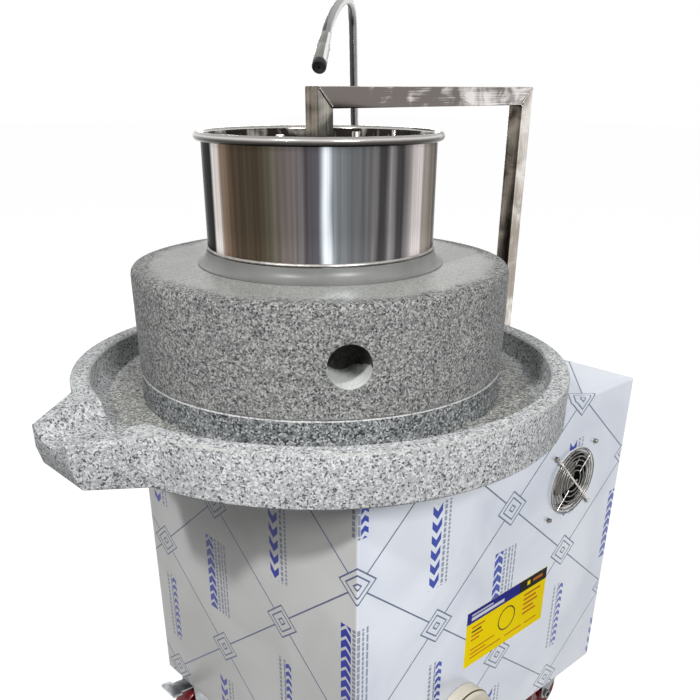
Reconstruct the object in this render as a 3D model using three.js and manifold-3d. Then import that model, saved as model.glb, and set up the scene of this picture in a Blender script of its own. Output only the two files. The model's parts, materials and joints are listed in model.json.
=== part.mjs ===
// Electric stone mill grinder: granite stones, tray and steel hopper on a wheeled sheet metal cabinet.
// Millimetres, +Z up, spout towards -Y. The model is built round the mill axis, then set on the floor.
import * as THREE from 'three';
import { mergeVertices } from 'three/addons/utils/BufferGeometryUtils.js';
import Module from 'manifold-3d';

const wasm = await Module();
wasm.setup();

// Clearances and cutters
const seatGap = 0.3;
const runGap = 0.5;
const cutOverrun = 3;

// Fineness of round shapes
const stoneSides = 56;
const hopperSides = 36;
const drumSides = 24;
const hiddenSides = 16;
const wheelSides = 20;
const barSides = 14;
const pinSides = 8;
const wireSides = 4;
const nutSides = 6;
const ringSides = 18;
const rimTubeSides = 7;
const troughSteps = 10;
const footSteps = 5;

// Cabinet
const cabinetWidth = 400;
const cabinetHeight = 435;
const cabinetFrontReach = 131;
const rearDeck = 75;
const cabinetSheet = 1.5;
const cabinetBendRadius = 3;
const rearFlangeWidth = 18;
const panelMargin = 2;
const louvreLength = 70;
const louvreHeight = 5;
const louvrePitch = 22;
const louvreRows = 6;
const glandRadius = 11;
const glandLength = 18;
const glandNeckRadius = 7.7;
const glandBore = 4.5;
const glandHeight = 60;

// Welded angle frame inside the cabinet
const angleLeg = 25;
const angleWall = 3;
const gussetSize = 72;
const carrierDrop = 42;
const carrierDepth = 136;
const carrierThickness = 8;

// Stones and tray
const trayRadius = 274;
const trayHeight = 53.2;
const trayRimWidth = 20;
const channelDepth = 29;
const channelFillet = 4;
const stoneArris = 2;
const trayRecessDepth = 6;
const stoneRadius = 200;
const lowerStoneHeight = 35;
const grindGap = 0.5;
const upperStoneHeight = 107;
const upperStoneChamfer = 4;
const shaftHoleRadius = 27;
const eyeRadius = 45;
const liftHoleRadius = 21;
const liftHoleDepth = 60;
const liftHoleDrop = 3;
const liftHoleAngle = -33.6;
const dressDepth = 2;
const dressWidth = 6;
const dressCount = 8;

// Spout of the tray
const spoutProud = 51;
const spoutRootSetback = 62;
const spoutRootHalfWidth = 81;
const spoutTipHalfWidth = 35;
const spoutTipDrop = 5.5;
const spoutFootHalfWidth = 41;
const spoutFootSetback = 7;
const spoutFootRise = 4.5;
const spoutCheekHeight = 22;
const troughTipHalfWidth = 27;
const troughRimHalfWidth = 45;
const troughTipDepth = 12;

// Hopper and its sealing ring
const hopperRadius = 119;
const hopperHeight = 127;
const hopperWall = 1.2;
const hopperFootWidth = 12;
const hopperRimTube = 4.2;
const hopperRimRadius = 122;
const sealWidth = 11;
const sealHeight = 14;
const sealLip = 1.5;

// Gantry of square tube and the feeding rake
const tubeSide = 20;
const tubeWall = 1.5;
const gantryHeight = 328;
const gantryInset = 19;
const footLength = 32;
const footWidth = 74;
const footThickness = 4;
const legClearance = 32;
const rakeBarHeight = 8;
const rakeBarWidth = 12;
const rakePegRadius = 4.5;
const rakePegReach = 50.6;
const rakePinRadius = 2.5;
const rakePinReach = 107;
const rakePegTop = 124;

// Tap and flexible neck
const stemInset = 16;
const stemClearance = 16.656;
const neckRadius = 5.2;
const neckValleyDepth = 0.9;
const neckBore = 3;
const neckRibPitch = 7.5;
const neckSides = 8;
const stemHeight = 60;
const stemRise = 100;
const bendReach = 45.5;
const bendHeight = 390;
const bendLean = 9.5;
const bendRun = 90;
const archRise = 59;
const archFall = 25;
const nozzleTilt = 56;
const nozzleAboveGantry = 16;
const nozzleLength = 52;
const nozzleTopRadius = 6.6;
const nozzleEndRadius = 8.2;
const nozzleTipLength = 11;
const nozzleWall = 1.6;
const tapFlangeRadius = 12.5;
const tapFlangeThickness = 3;
const tapBodyRadius = 9.5;
const tapBodyHeight = 34;
const tapTailRadius = 6;
const tapTailLength = 36;
const tapHubRadius = 6;
const tapHubLength = 12;
const leverLength = 34;
const leverWidth = 8;
const leverThickness = 3;
const hoseRadius = 5;
const hoseArcs = 4;
const hoseSteps = 14;
const inletRise = 245;
const inletInset = 50;
const inletRadius = 5.5;
const inletReach = 18;
const inletNutRadius = 10;
const inletNutThickness = 5;

// Axial fan and wire guard on the right side
const fanInset = 117;
const fanDrop = 106;
const fanFrameSide = 92;
const fanFrameDepth = 25;
const fanDuctRadius = 43;
const fanHubRadius = 18;
const fanHubDepth = 14;
const fanBladeRadius = 40;
const fanBladeChord = 20;
const fanBladeThickness = 1.6;
const fanBladePitch = 38;
const fanBladeCount = 7;
const fanHolePitch = 82.5;
const guardWire = 1.1;
const guardStandoff = 4.5;
const guardRingShares = [1, 0.79, 0.58, 0.37];
const guardRadius = 44;
const guardEyeRadius = 3.6;

// Round reversing switch on the right side
const switchFrontInset = 172;
const switchRise = 71;
const switchRadius = 42;
const switchDepth = 22;
const switchShoulder = 4;
const switchFaceRadius = 33;
const switchFaceThickness = 3;
const switchGroove = 2;
const knobRadius = 15;
const knobHeight = 7;
const knobBarLength = 56;
const knobBarWidth = 13;
const knobBarHeight = 15;
const spindleRadius = 4;
const spindleLength = 20;

// Drive train
const shaftRadius = 14;
const shaftStubRadius = 9;
const shaftStubLength = 18;
const wormCentreDistance = 63;
const wormRadius = 12.5;
const wormLength = 76;
const wormWheelHeight = 26;
const gearboxWall = 10;
const gearboxHalfLength = 70;
const gearboxHeight = 104;
const motorRadius = 72;
const motorRearRoom = 88.7;
const motorWall = 8;
const motorShaftRadius = 9.5;
const rotorRadius = 46;
const rotorLength = 110;
const motorFinHeight = 5;
const motorFinThickness = 3;
const motorFinCount = 10;
const cowlLength = 34;
const cowlWall = 1.5;
const motorFanRadius = 56;
const motorFanThickness = 14;
const capacitorLength = 90;
const capacitorWidth = 40;
const capacitorHeight = 34;
const bearingFlangeRadius = 52;
const bearingFlangeThickness = 8;
const bearingBodyRadius = 36;
const bearingBodyHeight = 26;
const bearingNeckRadius = 22;
const bearingNeckProud = 12;
const crossArmLength = 72;
const crossArmWidth = 26;
const crossHeight = 14;
const crossHubRadius = 26;

// Castors
const castorHeight = 85;
const castorInset = 40;
const wheelRadius = 31.5;
const wheelWidth = 24;
const wheelTyre = 8;
const wheelHubRadius = 10;
const wheelWebWidth = 12;
const castorTrail = 24;
const castorPlateSide = 62;
const castorPlateThickness = 3;
const raceRadius = 23;
const raceHeight = 5;
const forkTopThickness = 3.5;
const forkWall = 2.5;
const forkSideGap = 2;
const forkShoulder = 17;
const forkFootRadius = 9;
const kingPinRadius = 6;
const kingPinHead = 3;
const axleRadius = 4;
const axleHeadRadius = 6.5;
const axleHeadHeight = 4;
const brakePinRadius = 1.6;
const brakeBarrelRadius = 3.6;
const brakePivotY = -30;
const brakeReach = 38;
const brakeWidth = 24;
const brakePlate = 2.5;
const brakePadWidth = 34;
const brakePadLength = 14;
const brakeTilt = 12;

// Levels and faces that follow from the sizes
const cabinetSide = cabinetWidth / 2;
const cabinetFront = -cabinetFrontReach;
const cabinetRear = trayRadius + rearDeck;
const spoutReach = trayRadius + spoutProud;
const cabinetBottom = castorHeight;
const cabinetTop = cabinetBottom + cabinetHeight;
const gantryReach = cabinetRear - gantryInset;
const stemX = stemInset - cabinetSide;
const stemY = Math.sqrt((trayRadius + stemClearance) ** 2 - stemX ** 2);
const nozzleTipHeight = gantryHeight + nozzleAboveGantry;
const fanY = cabinetRear - fanInset;
const fanZ = cabinetTop - fanDrop;
const switchY = cabinetFront + switchFrontInset;
const switchZ = cabinetBottom + switchRise;
const inletX = inletInset - cabinetSide;
const inletHeight = cabinetBottom + inletRise;
const trayBottom = cabinetTop + seatGap;
const trayTop = trayBottom + trayHeight;
const channelFloor = trayTop - channelDepth;
const channelRadius = trayRadius - trayRimWidth;
const lowerStoneBottom = channelFloor - trayRecessDepth + seatGap;
const lowerStoneTop = lowerStoneBottom + lowerStoneHeight;
const upperStoneBottom = lowerStoneTop + grindGap;
const upperStoneTop = upperStoneBottom + upperStoneHeight;
const hopperFoot = upperStoneTop + seatGap;
const hopperRimLevel = hopperFoot + hopperHeight - hopperRimTube;
const gantryTop = cabinetTop + gantryHeight;
const carrierTop = cabinetTop - carrierDrop;
const gearboxTop = carrierTop - carrierThickness - seatGap;
const wormWheelRadius = wormCentreDistance - wormRadius - seatGap;
const wormLevel = gearboxTop - gearboxHeight / 2;

// Finishes
function finish(color, roughness, metalness) {
  return new THREE.MeshStandardMaterial({ color, roughness, metalness });
}
const granite = finish(0x9b9b99, 0.85, 0);
const darkGranite = finish(0x7f7f7e, 0.85, 0);
const filmedSteel = finish(0xc9ced9, 0.35, 0.2);
const polishedSteel = finish(0xcfd0cf, 0.12, 1);
const satinSteel = finish(0xb3b2ae, 0.35, 1);
const zincSteel = finish(0xa9abad, 0.4, 1);
const paintedSteel = finish(0x4b5560, 0.6, 0.3);
const castIron = finish(0x4f5254, 0.6, 0.8);
const sealRubber = finish(0x8d8f90, 0.5, 0);
const creamPlastic = finish(0xcfcabb, 0.4, 0);
const darkPlastic = finish(0x1d1e20, 0.45, 0);
const redPlastic = finish(0x7c1420, 0.35, 0);
const clearHose = finish(0xd8dcdc, 0.3, 0);

// Shape helpers: each returns a closed solid that can be joined or cut
function solid(geometry) {
  const plain = geometry.clone();
  plain.deleteAttribute('normal');
  plain.deleteAttribute('uv');
  const merged = mergeVertices(plain);
  const corners = merged.index.array;
  const kept = [];
  for (let i = 0; i < corners.length; i += 3) {
    const [a, b, c] = [corners[i], corners[i + 1], corners[i + 2]];
    if (a !== b && b !== c && c !== a) kept.push(a, b, c);
  }
  const vertProperties = new Float32Array(merged.attributes.position.array);
  const build = (order) => new wasm.Manifold(
    new wasm.Mesh({ numProp: 3, vertProperties, triVerts: new Uint32Array(order) })
  );
  const shape = build(kept);
  return shape.volume() > 0 ? shape : build(kept.reverse());
}

function bar(x0, x1, y0, y1, z0, z1) {
  const geometry = new THREE.BoxGeometry(x1 - x0, y1 - y0, z1 - z0);
  return solid(geometry.translate((x0 + x1) / 2, (y0 + y1) / 2, (z0 + z1) / 2));
}

function turned(profile, sides) {
  const points = profile.map(([r, z]) => new THREE.Vector2(r, z));
  return solid(new THREE.LatheGeometry(points, sides).rotateX(Math.PI / 2));
}

function rod(radius, z0, z1, sides = barSides) {
  return turned([[0, z0], [radius, z0], [radius, z1], [0, z1]], sides);
}

function pipe(inner, outer, z0, z1, sides = barSides) {
  return turned([[inner, z0], [outer, z0], [outer, z1], [inner, z1], [inner, z0]], sides);
}

// Turns a shape made along Z so that it lies along X, or along Y
function alongX(shape) {
  return shape.rotate([0, 90, 0]);
}

function alongY(shape) {
  return shape.rotate([-90, 0, 0]);
}

// Extrudes an outline of (y, z) points across X
function sideways(outline, x0, x1) {
  const shape = new THREE.Shape(outline.map(([y, z]) => new THREE.Vector2(y, z)));
  const geometry = new THREE.ExtrudeGeometry(shape, { depth: x1 - x0, bevelEnabled: false });
  const turn = new THREE.Matrix4().makeBasis(
    new THREE.Vector3(0, 1, 0), new THREE.Vector3(0, 0, 1), new THREE.Vector3(1, 0, 0)
  );
  return solid(geometry.applyMatrix4(turn).translate(x0, 0, 0));
}

// Skins a stack of equal rings of points and closes both ends
function loft(rings) {
  const count = rings[0].length;
  const positions = rings.flat().flatMap((point) => [point.x, point.y, point.z]);
  const faces = [];
  for (let r = 0; r + 1 < rings.length; r += 1) {
    for (let i = 0; i < count; i += 1) {
      const next = (i + 1) % count;
      const [a, b] = [r * count + i, r * count + next];
      const [c, d] = [a + count, b + count];
      faces.push(a, b, d, a, d, c);
    }
  }
  const last = (rings.length - 1) * count;
  for (let i = 1; i + 1 < count; i += 1) {
    faces.push(0, i + 1, i, last, last + i, last + i + 1);
  }
  const geometry = new THREE.BufferGeometry();
  geometry.setAttribute('position', new THREE.Float32BufferAttribute(positions, 3));
  geometry.setIndex(faces);
  return solid(geometry);
}

function join(first, ...others) {
  return others.reduce((whole, piece) => whole.add(piece), first);
}

function cut(first, ...others) {
  return others.reduce((whole, piece) => whole.subtract(piece), first);
}

// The finished group, and the one call that puts a named piece in it
const mill = new THREE.Group();
const machine = new THREE.Group();
mill.add(machine);

function piece(name, shape, material, parent = machine) {
  const { vertProperties, triVerts } = shape.getMesh();
  const geometry = new THREE.BufferGeometry();
  geometry.setAttribute('position', new THREE.Float32BufferAttribute(vertProperties, 3));
  geometry.setIndex(Array.from(triVerts));
  geometry.computeVertexNormals();
  const mesh = new THREE.Mesh(geometry, material);
  mesh.name = name;
  parent.add(mesh);
  return mesh;
}

// Folded cabinet shell, open below and behind, with a return flange round the rear opening
function cabinetShell() {
  const corner = cabinetBendRadius;
  const outline = new THREE.Shape();
  outline.moveTo(-cabinetSide, cabinetRear);
  outline.lineTo(-cabinetSide, cabinetFront + corner);
  outline.absarc(-cabinetSide + corner, cabinetFront + corner, corner, Math.PI, 1.5 * Math.PI, false);
  outline.absarc(cabinetSide - corner, cabinetFront + corner, corner, 1.5 * Math.PI, 2 * Math.PI, false);
  outline.lineTo(cabinetSide, cabinetRear);
  const block = new THREE.ExtrudeGeometry(outline, {
    depth: cabinetHeight, bevelEnabled: false, curveSegments: 3
  });
  const inside = cabinetSide - cabinetSheet;
  const room = bar(
    -inside, inside, cabinetFront + cabinetSheet, cabinetRear - cabinetSheet,
    cabinetBottom - cutOverrun, cabinetTop - cabinetSheet
  );
  const opening = cabinetSide - rearFlangeWidth;
  const doorway = bar(
    -opening, opening, cabinetRear - cabinetSheet - cutOverrun, cabinetRear + cutOverrun,
    cabinetBottom + rearFlangeWidth, cabinetTop - rearFlangeWidth
  );
  const throughTop = (radius, sides) => rod(
    radius, cabinetTop - cabinetSheet - cutOverrun, cabinetTop + cutOverrun, sides
  );
  const throughSide = (radius, sides) => alongX(rod(
    radius, cabinetSide - cabinetSheet - cutOverrun, cabinetSide + cutOverrun, sides
  ));
  const neckHole = throughTop(bearingNeckRadius + cutOverrun, drumSides);
  const tailHole = throughTop(tapTailRadius + runGap).translate([stemX, stemY, 0]);
  const fanHole = throughSide(fanDuctRadius, drumSides).translate([0, fanY, fanZ]);
  const spindleHole = throughSide(spindleRadius + cutOverrun).translate([0, switchY, switchZ]);
  return cut(
    solid(block.translate(0, 0, cabinetBottom)), room, doorway, neckHole, tailHole, fanHole, spindleHole
  );
}
piece('cabinet_shell', cabinetShell(), filmedSteel);

// Rear service panel with rows of louvre slots, on the flange
const panelInside = cabinetRear + seatGap;
const panelOutside = panelInside + cabinetSheet;
const panelMiddle = (cabinetBottom + cabinetTop) / 2;

function rearPanel() {
  const halfWidth = cabinetSide - panelMargin;
  let panel = bar(
    -halfWidth, halfWidth, panelInside, panelOutside, cabinetBottom + panelMargin, cabinetTop - panelMargin
  );
  for (let row = 0; row < louvreRows; row += 1) {
    const level = panelMiddle + row * louvrePitch;
    for (const side of [-1, 1]) {
      const middle = side * louvreLength;
      panel = panel.subtract(bar(
        middle - louvreLength / 2, middle + louvreLength / 2,
        panelInside - cutOverrun, panelOutside + cutOverrun, level, level + louvreHeight
      ));
    }
  }
  const [near, far] = [panelInside - cutOverrun, panelOutside + cutOverrun];
  const glandHole = alongY(rod(glandNeckRadius + seatGap, near, far));
  const inletHole = alongY(rod(inletRadius + seatGap, near, far));
  return cut(
    panel,
    glandHole.translate([cabinetSide / 2, 0, cabinetBottom + glandHeight]),
    inletHole.translate([inletX, 0, inletHeight])
  );
}
piece('rear_panel', rearPanel(), satinSteel);

// Power lead gland in the rear panel, a collar each side of the sheet
function cableGland() {
  const nose = panelOutside + seatGap;
  const inner = panelInside - seatGap;
  const body = turned([
    [glandBore, inner - glandLength / 3], [glandRadius, inner - glandLength / 3], [glandRadius, inner],
    [glandNeckRadius, inner], [glandNeckRadius, nose], [glandRadius, nose],
    [glandRadius, nose + glandLength / 2], [glandRadius * 0.75, nose + glandLength],
    [glandBore, nose + glandLength], [glandBore, inner - glandLength / 3]
  ], barSides);
  return alongY(body).translate([cabinetSide / 2, 0, cabinetBottom + glandHeight]);
}
piece('cable_gland', cableGland(), darkPlastic);

// Welded frame of angle bar with castor gussets and the plate that carries the gearbox
function innerFrame() {
  const side = cabinetSide - cabinetSheet - seatGap;
  const front = cabinetFront + cabinetSheet + seatGap;
  const rear = cabinetRear - cabinetSheet - seatGap;
  const floor = cabinetBottom;
  const top = cabinetTop - cabinetSheet - seatGap;
  const parts = [];
  for (const x of [-1, 1]) {
    const [outer, inner] = [x * side, x * (side - angleLeg)];
    const wall = x * (side - angleWall);
    const across = (a, b) => [Math.min(a, b), Math.max(a, b)];
    for (const [y, toward] of [[front, 1], [rear, -1]]) {
      const [y0, y1] = across(y, y + toward * angleLeg);
      const [w0, w1] = across(y, y + toward * angleWall);
      parts.push(bar(...across(outer, wall), y0, y1, floor, top));
      parts.push(bar(...across(outer, inner), w0, w1, floor, top));
      const [g0, g1] = across(y, y + toward * gussetSize);
      parts.push(bar(...across(outer, x * (side - gussetSize)), g0, g1, floor, floor + angleWall));
    }
    for (const [level, flat] of [[floor, 1], [top, -1]]) {
      const [z0, z1] = across(level, level + flat * angleLeg);
      const [f0, f1] = across(level, level + flat * angleWall);
      parts.push(bar(...across(outer, wall), front, rear, z0, z1));
      parts.push(bar(...across(outer, inner), front, rear, f0, f1));
    }
  }
  for (const [y, toward] of [[front, 1], [rear, -1]]) {
    for (const [level, flat] of [[floor, 1], [top, -1]]) {
      const wide = [Math.min(y, y + toward * angleWall), Math.max(y, y + toward * angleWall)];
      const tall = [Math.min(level, level + flat * angleLeg), Math.max(level, level + flat * angleLeg)];
      parts.push(bar(-side, side, ...wide, ...tall));
    }
  }
  const half = carrierDepth / 2;
  const deck = bar(-side, side, -half, half, carrierTop - carrierThickness, carrierTop);
  for (const x of [-1, 1]) {
    const reach = [x * side, x * (side - angleWall)].sort((a, b) => a - b);
    parts.push(bar(...reach, -half, half, carrierTop - carrierThickness, top));
  }
  const shaftHole = rod(
    shaftRadius + cutOverrun, carrierTop - carrierThickness - cutOverrun, carrierTop + cutOverrun
  );
  const tailRoom = rod(tapTailRadius + cutOverrun, top - angleLeg - cutOverrun, top + cutOverrun);
  return cut(join(deck, ...parts), shaftHole, tailRoom.translate([stemX, stemY, 0]));
}
piece('inner_frame', innerFrame(), paintedSteel);

// Granite tray: rim, channel, recess for the lower stone, and the spout with its dished trough
const spoutTop = trayTop - spoutTipDrop;

function spoutBlock() {
  const root = -(spoutReach - spoutRootSetback);
  const inner = -channelRadius * 0.9;
  const ring = (halfWidth, reach, tipLevel, rootLevel) => [
    new THREE.Vector3(-spoutRootHalfWidth, inner, rootLevel),
    new THREE.Vector3(-spoutRootHalfWidth, root, rootLevel),
    new THREE.Vector3(-halfWidth, -reach, tipLevel),
    new THREE.Vector3(halfWidth, -reach, tipLevel),
    new THREE.Vector3(spoutRootHalfWidth, root, rootLevel),
    new THREE.Vector3(spoutRootHalfWidth, inner, rootLevel)
  ];
  const foot = trayBottom + spoutFootRise;
  const cheek = spoutTop - spoutCheekHeight;
  return loft([
    ring(spoutFootHalfWidth, spoutReach - spoutFootSetback, foot, foot),
    ring(spoutTipHalfWidth, spoutReach, cheek, cheek),
    ring(spoutTipHalfWidth, spoutReach, spoutTop, trayTop - seatGap)
  ]);
}

// One section of the trough: a half ellipse under an open top
function troughSection(y, halfWidth, level, depth) {
  const high = trayTop + cutOverrun;
  const points = [new THREE.Vector3(-halfWidth, y, high)];
  for (let i = 0; i <= troughSteps; i += 1) {
    const turn = Math.PI * i / troughSteps;
    points.push(new THREE.Vector3(-halfWidth * Math.cos(turn), y, level - depth * Math.sin(turn)));
  }
  points.push(new THREE.Vector3(halfWidth, y, high));
  return points;
}

function tray() {
  const arris = stoneArris;
  const dish = turned([
    [shaftHoleRadius, trayBottom], [trayRadius - arris, trayBottom], [trayRadius, trayBottom + arris],
    [trayRadius, trayTop - arris], [trayRadius - arris, trayTop], [channelRadius + arris, trayTop],
    [channelRadius, trayTop - arris], [channelRadius, channelFloor + channelFillet],
    [channelRadius - channelFillet, channelFloor], [stoneRadius + runGap, channelFloor],
    [stoneRadius + runGap, channelFloor - trayRecessDepth],
    [shaftHoleRadius, channelFloor - trayRecessDepth], [shaftHoleRadius, trayBottom]
  ], stoneSides);
  const well = rod(channelRadius, trayBottom - cutOverrun, trayTop + cutOverrun, stoneSides);
  const inner = -(channelRadius - trayRimWidth);
  const trough = loft([
    troughSection(inner, troughRimHalfWidth, trayTop, channelDepth),
    troughSection(-trayRadius, troughRimHalfWidth, trayTop, (channelDepth + troughTipDepth) / 2),
    troughSection(-spoutReach - cutOverrun, troughTipHalfWidth, spoutTop, troughTipDepth)
  ]);
  return dish.add(spoutBlock().subtract(well)).subtract(trough);
}
piece('tray', tray(), granite);

// Fixed stone, seated in the recess of the tray
function lowerStone() {
  return turned([
    [shaftHoleRadius, lowerStoneBottom], [stoneRadius, lowerStoneBottom],
    [stoneRadius, lowerStoneTop - stoneArris / 2], [stoneRadius - stoneArris / 2, lowerStoneTop],
    [shaftHoleRadius, lowerStoneTop], [shaftHoleRadius, lowerStoneBottom]
  ], stoneSides);
}
piece('lower_stone', lowerStone(), darkGranite);

// Radial dressing furrows for a grinding face at the given level
function furrows(z0, z1) {
  const parts = [];
  const start = crossArmLength + dressWidth;
  for (let i = 0; i < dressCount; i += 1) {
    const groove = bar(start, stoneRadius + cutOverrun, -dressWidth / 2, dressWidth / 2, z0, z1);
    parts.push(groove.rotate([0, 0, 360 * (i + 0.5) / dressCount]));
  }
  return parts;
}

// Upper stone: feed eye, two blind lifting holes, pocket for the drive cross and dressed underside
function upperStone() {
  const blank = turned([
    [eyeRadius, upperStoneBottom], [stoneRadius - stoneArris / 2, upperStoneBottom],
    [stoneRadius, upperStoneBottom + stoneArris / 2], [stoneRadius, upperStoneTop - upperStoneChamfer],
    [stoneRadius - upperStoneChamfer * 0.3, upperStoneTop - upperStoneChamfer * 0.3],
    [stoneRadius - upperStoneChamfer, upperStoneTop], [eyeRadius, upperStoneTop],
    [eyeRadius, upperStoneBottom]
  ], stoneSides);
  const holeLevel = (upperStoneBottom + upperStoneTop) / 2 - liftHoleDrop;
  const holes = [0, 180].map((turn) => alongX(
    rod(liftHoleRadius, stoneRadius - liftHoleDepth, stoneRadius + cutOverrun, ringSides)
  ).rotate([0, 0, liftHoleAngle + turn]).translate([0, 0, holeLevel]));
  const pocket = driveCrossBlank(seatGap, upperStoneBottom - cutOverrun, crossTop + seatGap);
  const dressing = furrows(upperStoneBottom - cutOverrun, upperStoneBottom + dressDepth);
  return cut(blank, ...holes, pocket, ...dressing);
}

// Four armed drive cross let into the underside of the upper stone
const crossBottom = upperStoneBottom + seatGap;
const crossTop = crossBottom + crossHeight;

function driveCrossBlank(margin, z0, z1) {
  const reach = crossArmLength + margin;
  const half = crossArmWidth / 2 + margin;
  return join(
    rod(crossHubRadius + margin, z0, z1, hiddenSides),
    bar(-reach, reach, -half, half, z0, z1),
    bar(-half, half, -reach, reach, z0, z1)
  );
}
piece('upper_stone', upperStone(), granite);
piece(
  'drive_cross',
  driveCrossBlank(0, crossBottom, crossTop).subtract(
    rod(shaftStubRadius + seatGap, crossBottom - cutOverrun, crossTop + cutOverrun)
  ),
  castIron
);

// Stainless hopper: spun wall with a rolled rim and an inward foot, and the sealing ring round it
function hopper() {
  const inner = hopperRadius - hopperWall;
  const shell = turned([
    [inner - hopperFootWidth, hopperFoot], [hopperRadius, hopperFoot], [hopperRadius, hopperRimLevel],
    [inner, hopperRimLevel], [inner, hopperFoot + hopperWall],
    [inner - hopperFootWidth, hopperFoot + hopperWall], [inner - hopperFootWidth, hopperFoot]
  ], hopperSides);
  const rim = new THREE.TorusGeometry(hopperRimRadius, hopperRimTube, rimTubeSides, hopperSides);
  return shell.add(solid(rim.translate(0, 0, hopperRimLevel)));
}
piece('hopper', hopper(), polishedSteel);

function sealRing() {
  const inner = hopperRadius + seatGap;
  const foot = hopperFoot;
  return turned([
    [inner, foot], [inner + sealWidth, foot], [inner + sealWidth, foot + sealLip],
    [inner + sealWidth * 0.45, foot + sealHeight * 0.35], [inner + sealLip, foot + sealHeight],
    [inner, foot + sealHeight], [inner, foot]
  ], hopperSides);
}
piece('hopper_seal', sealRing(), sealRubber);

// Main shaft with its stub in the cross, and the worm wheel keyed on it
const wormWheelBottom = wormLevel - wormWheelHeight / 2;
const shaftBottom = wormWheelBottom - gearboxWall;
const shaftShoulder = crossBottom - seatGap;
piece('main_shaft', turned([
  [0, shaftBottom], [shaftRadius, shaftBottom], [shaftRadius, shaftShoulder],
  [shaftStubRadius, shaftShoulder], [shaftStubRadius, shaftShoulder + shaftStubLength],
  [0, shaftShoulder + shaftStubLength]
], barSides), zincSteel);
piece('worm_wheel', pipe(
  shaftRadius + seatGap, wormWheelRadius, wormWheelBottom, wormWheelBottom + wormWheelHeight, hiddenSides
), castIron);

// Flanged bearing housing on the carrier deck; its neck keeps water out of the shaft hole
function bearingHousing() {
  const foot = carrierTop + seatGap;
  const bore = shaftRadius + runGap;
  return turned([
    [bore, foot], [bearingFlangeRadius, foot], [bearingFlangeRadius, foot + bearingFlangeThickness],
    [bearingBodyRadius, foot + bearingFlangeThickness], [bearingBodyRadius, foot + bearingBodyHeight],
    [bearingNeckRadius, foot + bearingBodyHeight], [bearingNeckRadius, channelFloor + bearingNeckProud],
    [bore, channelFloor + bearingNeckProud], [bore, foot]
  ], hiddenSides);
}
piece('bearing_housing', bearingHousing(), castIron);

// Worm gearbox hung under the deck: its cavity is open at the shaft and at the worm
function gearbox() {
  const near = -(wormWheelRadius + runGap + gearboxWall);
  const far = wormCentreDistance + wormRadius + runGap + gearboxWall;
  const bottom = gearboxTop - gearboxHeight;
  const block = bar(near, far, -gearboxHalfLength, gearboxHalfLength, bottom, gearboxTop);
  const roomHalf = wormWheelHeight / 2 + runGap;
  const roomRadius = (wormWheelRadius + runGap) / Math.cos(Math.PI / hiddenSides);
  const wheelRoom = rod(roomRadius, wormLevel - roomHalf, wormLevel + roomHalf, hiddenSides);
  const shaftRoom = rod(shaftRadius + runGap, bottom - cutOverrun, gearboxTop + cutOverrun);
  const wormRoom = alongY(rod(
    wormRadius + runGap, -wormLength / 2 - runGap, gearboxHalfLength + cutOverrun, barSides
  )).translate([wormCentreDistance, 0, wormLevel]);
  return cut(block, wheelRoom, shaftRoom, wormRoom);
}
piece('gearbox_housing', gearbox(), castIron);

// Motor bolted to the back of the gearbox, lying along Y
const motor = new THREE.Group();
motor.position.set(wormCentreDistance, 0, wormLevel);
machine.add(motor);
const motorFront = gearboxHalfLength + seatGap;
const motorRear = cabinetRear - motorRearRoom;
const shaftTail = motorRear + cowlLength * 0.7;

function motorHousing() {
  const room = motorRadius - motorWall;
  const barrel = turned([
    [motorShaftRadius + runGap, motorFront], [motorRadius, motorFront], [motorRadius, motorRear],
    [motorShaftRadius + runGap, motorRear], [motorShaftRadius + runGap, motorRear - motorWall],
    [room, motorRear - motorWall], [room, motorFront + motorWall],
    [motorShaftRadius + runGap, motorFront + motorWall], [motorShaftRadius + runGap, motorFront]
  ], hiddenSides);
  const fins = [];
  for (let i = 0; i < motorFinCount; i += 1) {
    const fin = bar(
      motorRadius - motorWall / 2, motorRadius + motorFinHeight,
      -motorFinThickness / 2, motorFinThickness / 2, motorFront + motorWall, motorRear - motorWall
    );
    fins.push(fin.rotate([0, 0, 360 * (i + 0.5) / motorFinCount]));
  }
  return alongY(join(barrel, ...fins));
}
piece('motor_housing', motorHousing(), paintedSteel, motor);

function motorRotor() {
  const middle = (motorFront + motorRear) / 2;
  const fanStart = motorRear + seatGap + runGap;
  return alongY(join(
    rod(motorShaftRadius, -wormLength / 2, shaftTail),
    rod(rotorRadius, middle - rotorLength / 2, middle + rotorLength / 2, hiddenSides),
    rod(motorFanRadius, fanStart, fanStart + motorFanThickness, hiddenSides)
  ));
}
piece('motor_rotor', motorRotor(), zincSteel, motor);
piece('worm', alongY(pipe(
  motorShaftRadius + seatGap, wormRadius, -wormLength / 2, wormLength / 2
)), zincSteel, motor);

function fanCowl() {
  const start = motorRear + seatGap;
  const end = motorRear + cowlLength;
  const inner = motorFanRadius + motorWall / 2;
  return alongY(turned([
    [inner, start], [inner + cowlWall, start], [inner + cowlWall, end], [rotorRadius / 2, end],
    [rotorRadius / 2, end - cowlWall], [inner, end - cowlWall], [inner, start]
  ], hiddenSides));
}
piece('motor_cowl', fanCowl(), paintedSteel, motor);
const capacitorSide = motorRadius + motorFinHeight + seatGap;
const capacitorStart = motorFront + motorWall * 2;
piece('capacitor_box', bar(
  -capacitorWidth / 2, capacitorWidth / 2, capacitorStart, capacitorStart + capacitorLength,
  -capacitorSide - capacitorHeight, -capacitorSide
), darkPlastic, motor);

// Gantry: mitred square tubes from the cabinet top over the hopper and down its axis
const halfTube = tubeSide / 2;
const footTop = cabinetTop + seatGap + footThickness;
const legBottom = upperStoneTop + legClearance;

// A square tube in the middle plane: its outer outline is mitred, its bore runs right through
function squareTube(outline, bore) {
  const wide = halfTube - tubeWall;
  return sideways(outline, -halfTube, halfTube).subtract(sideways(bore, -wide, wide));
}

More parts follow.
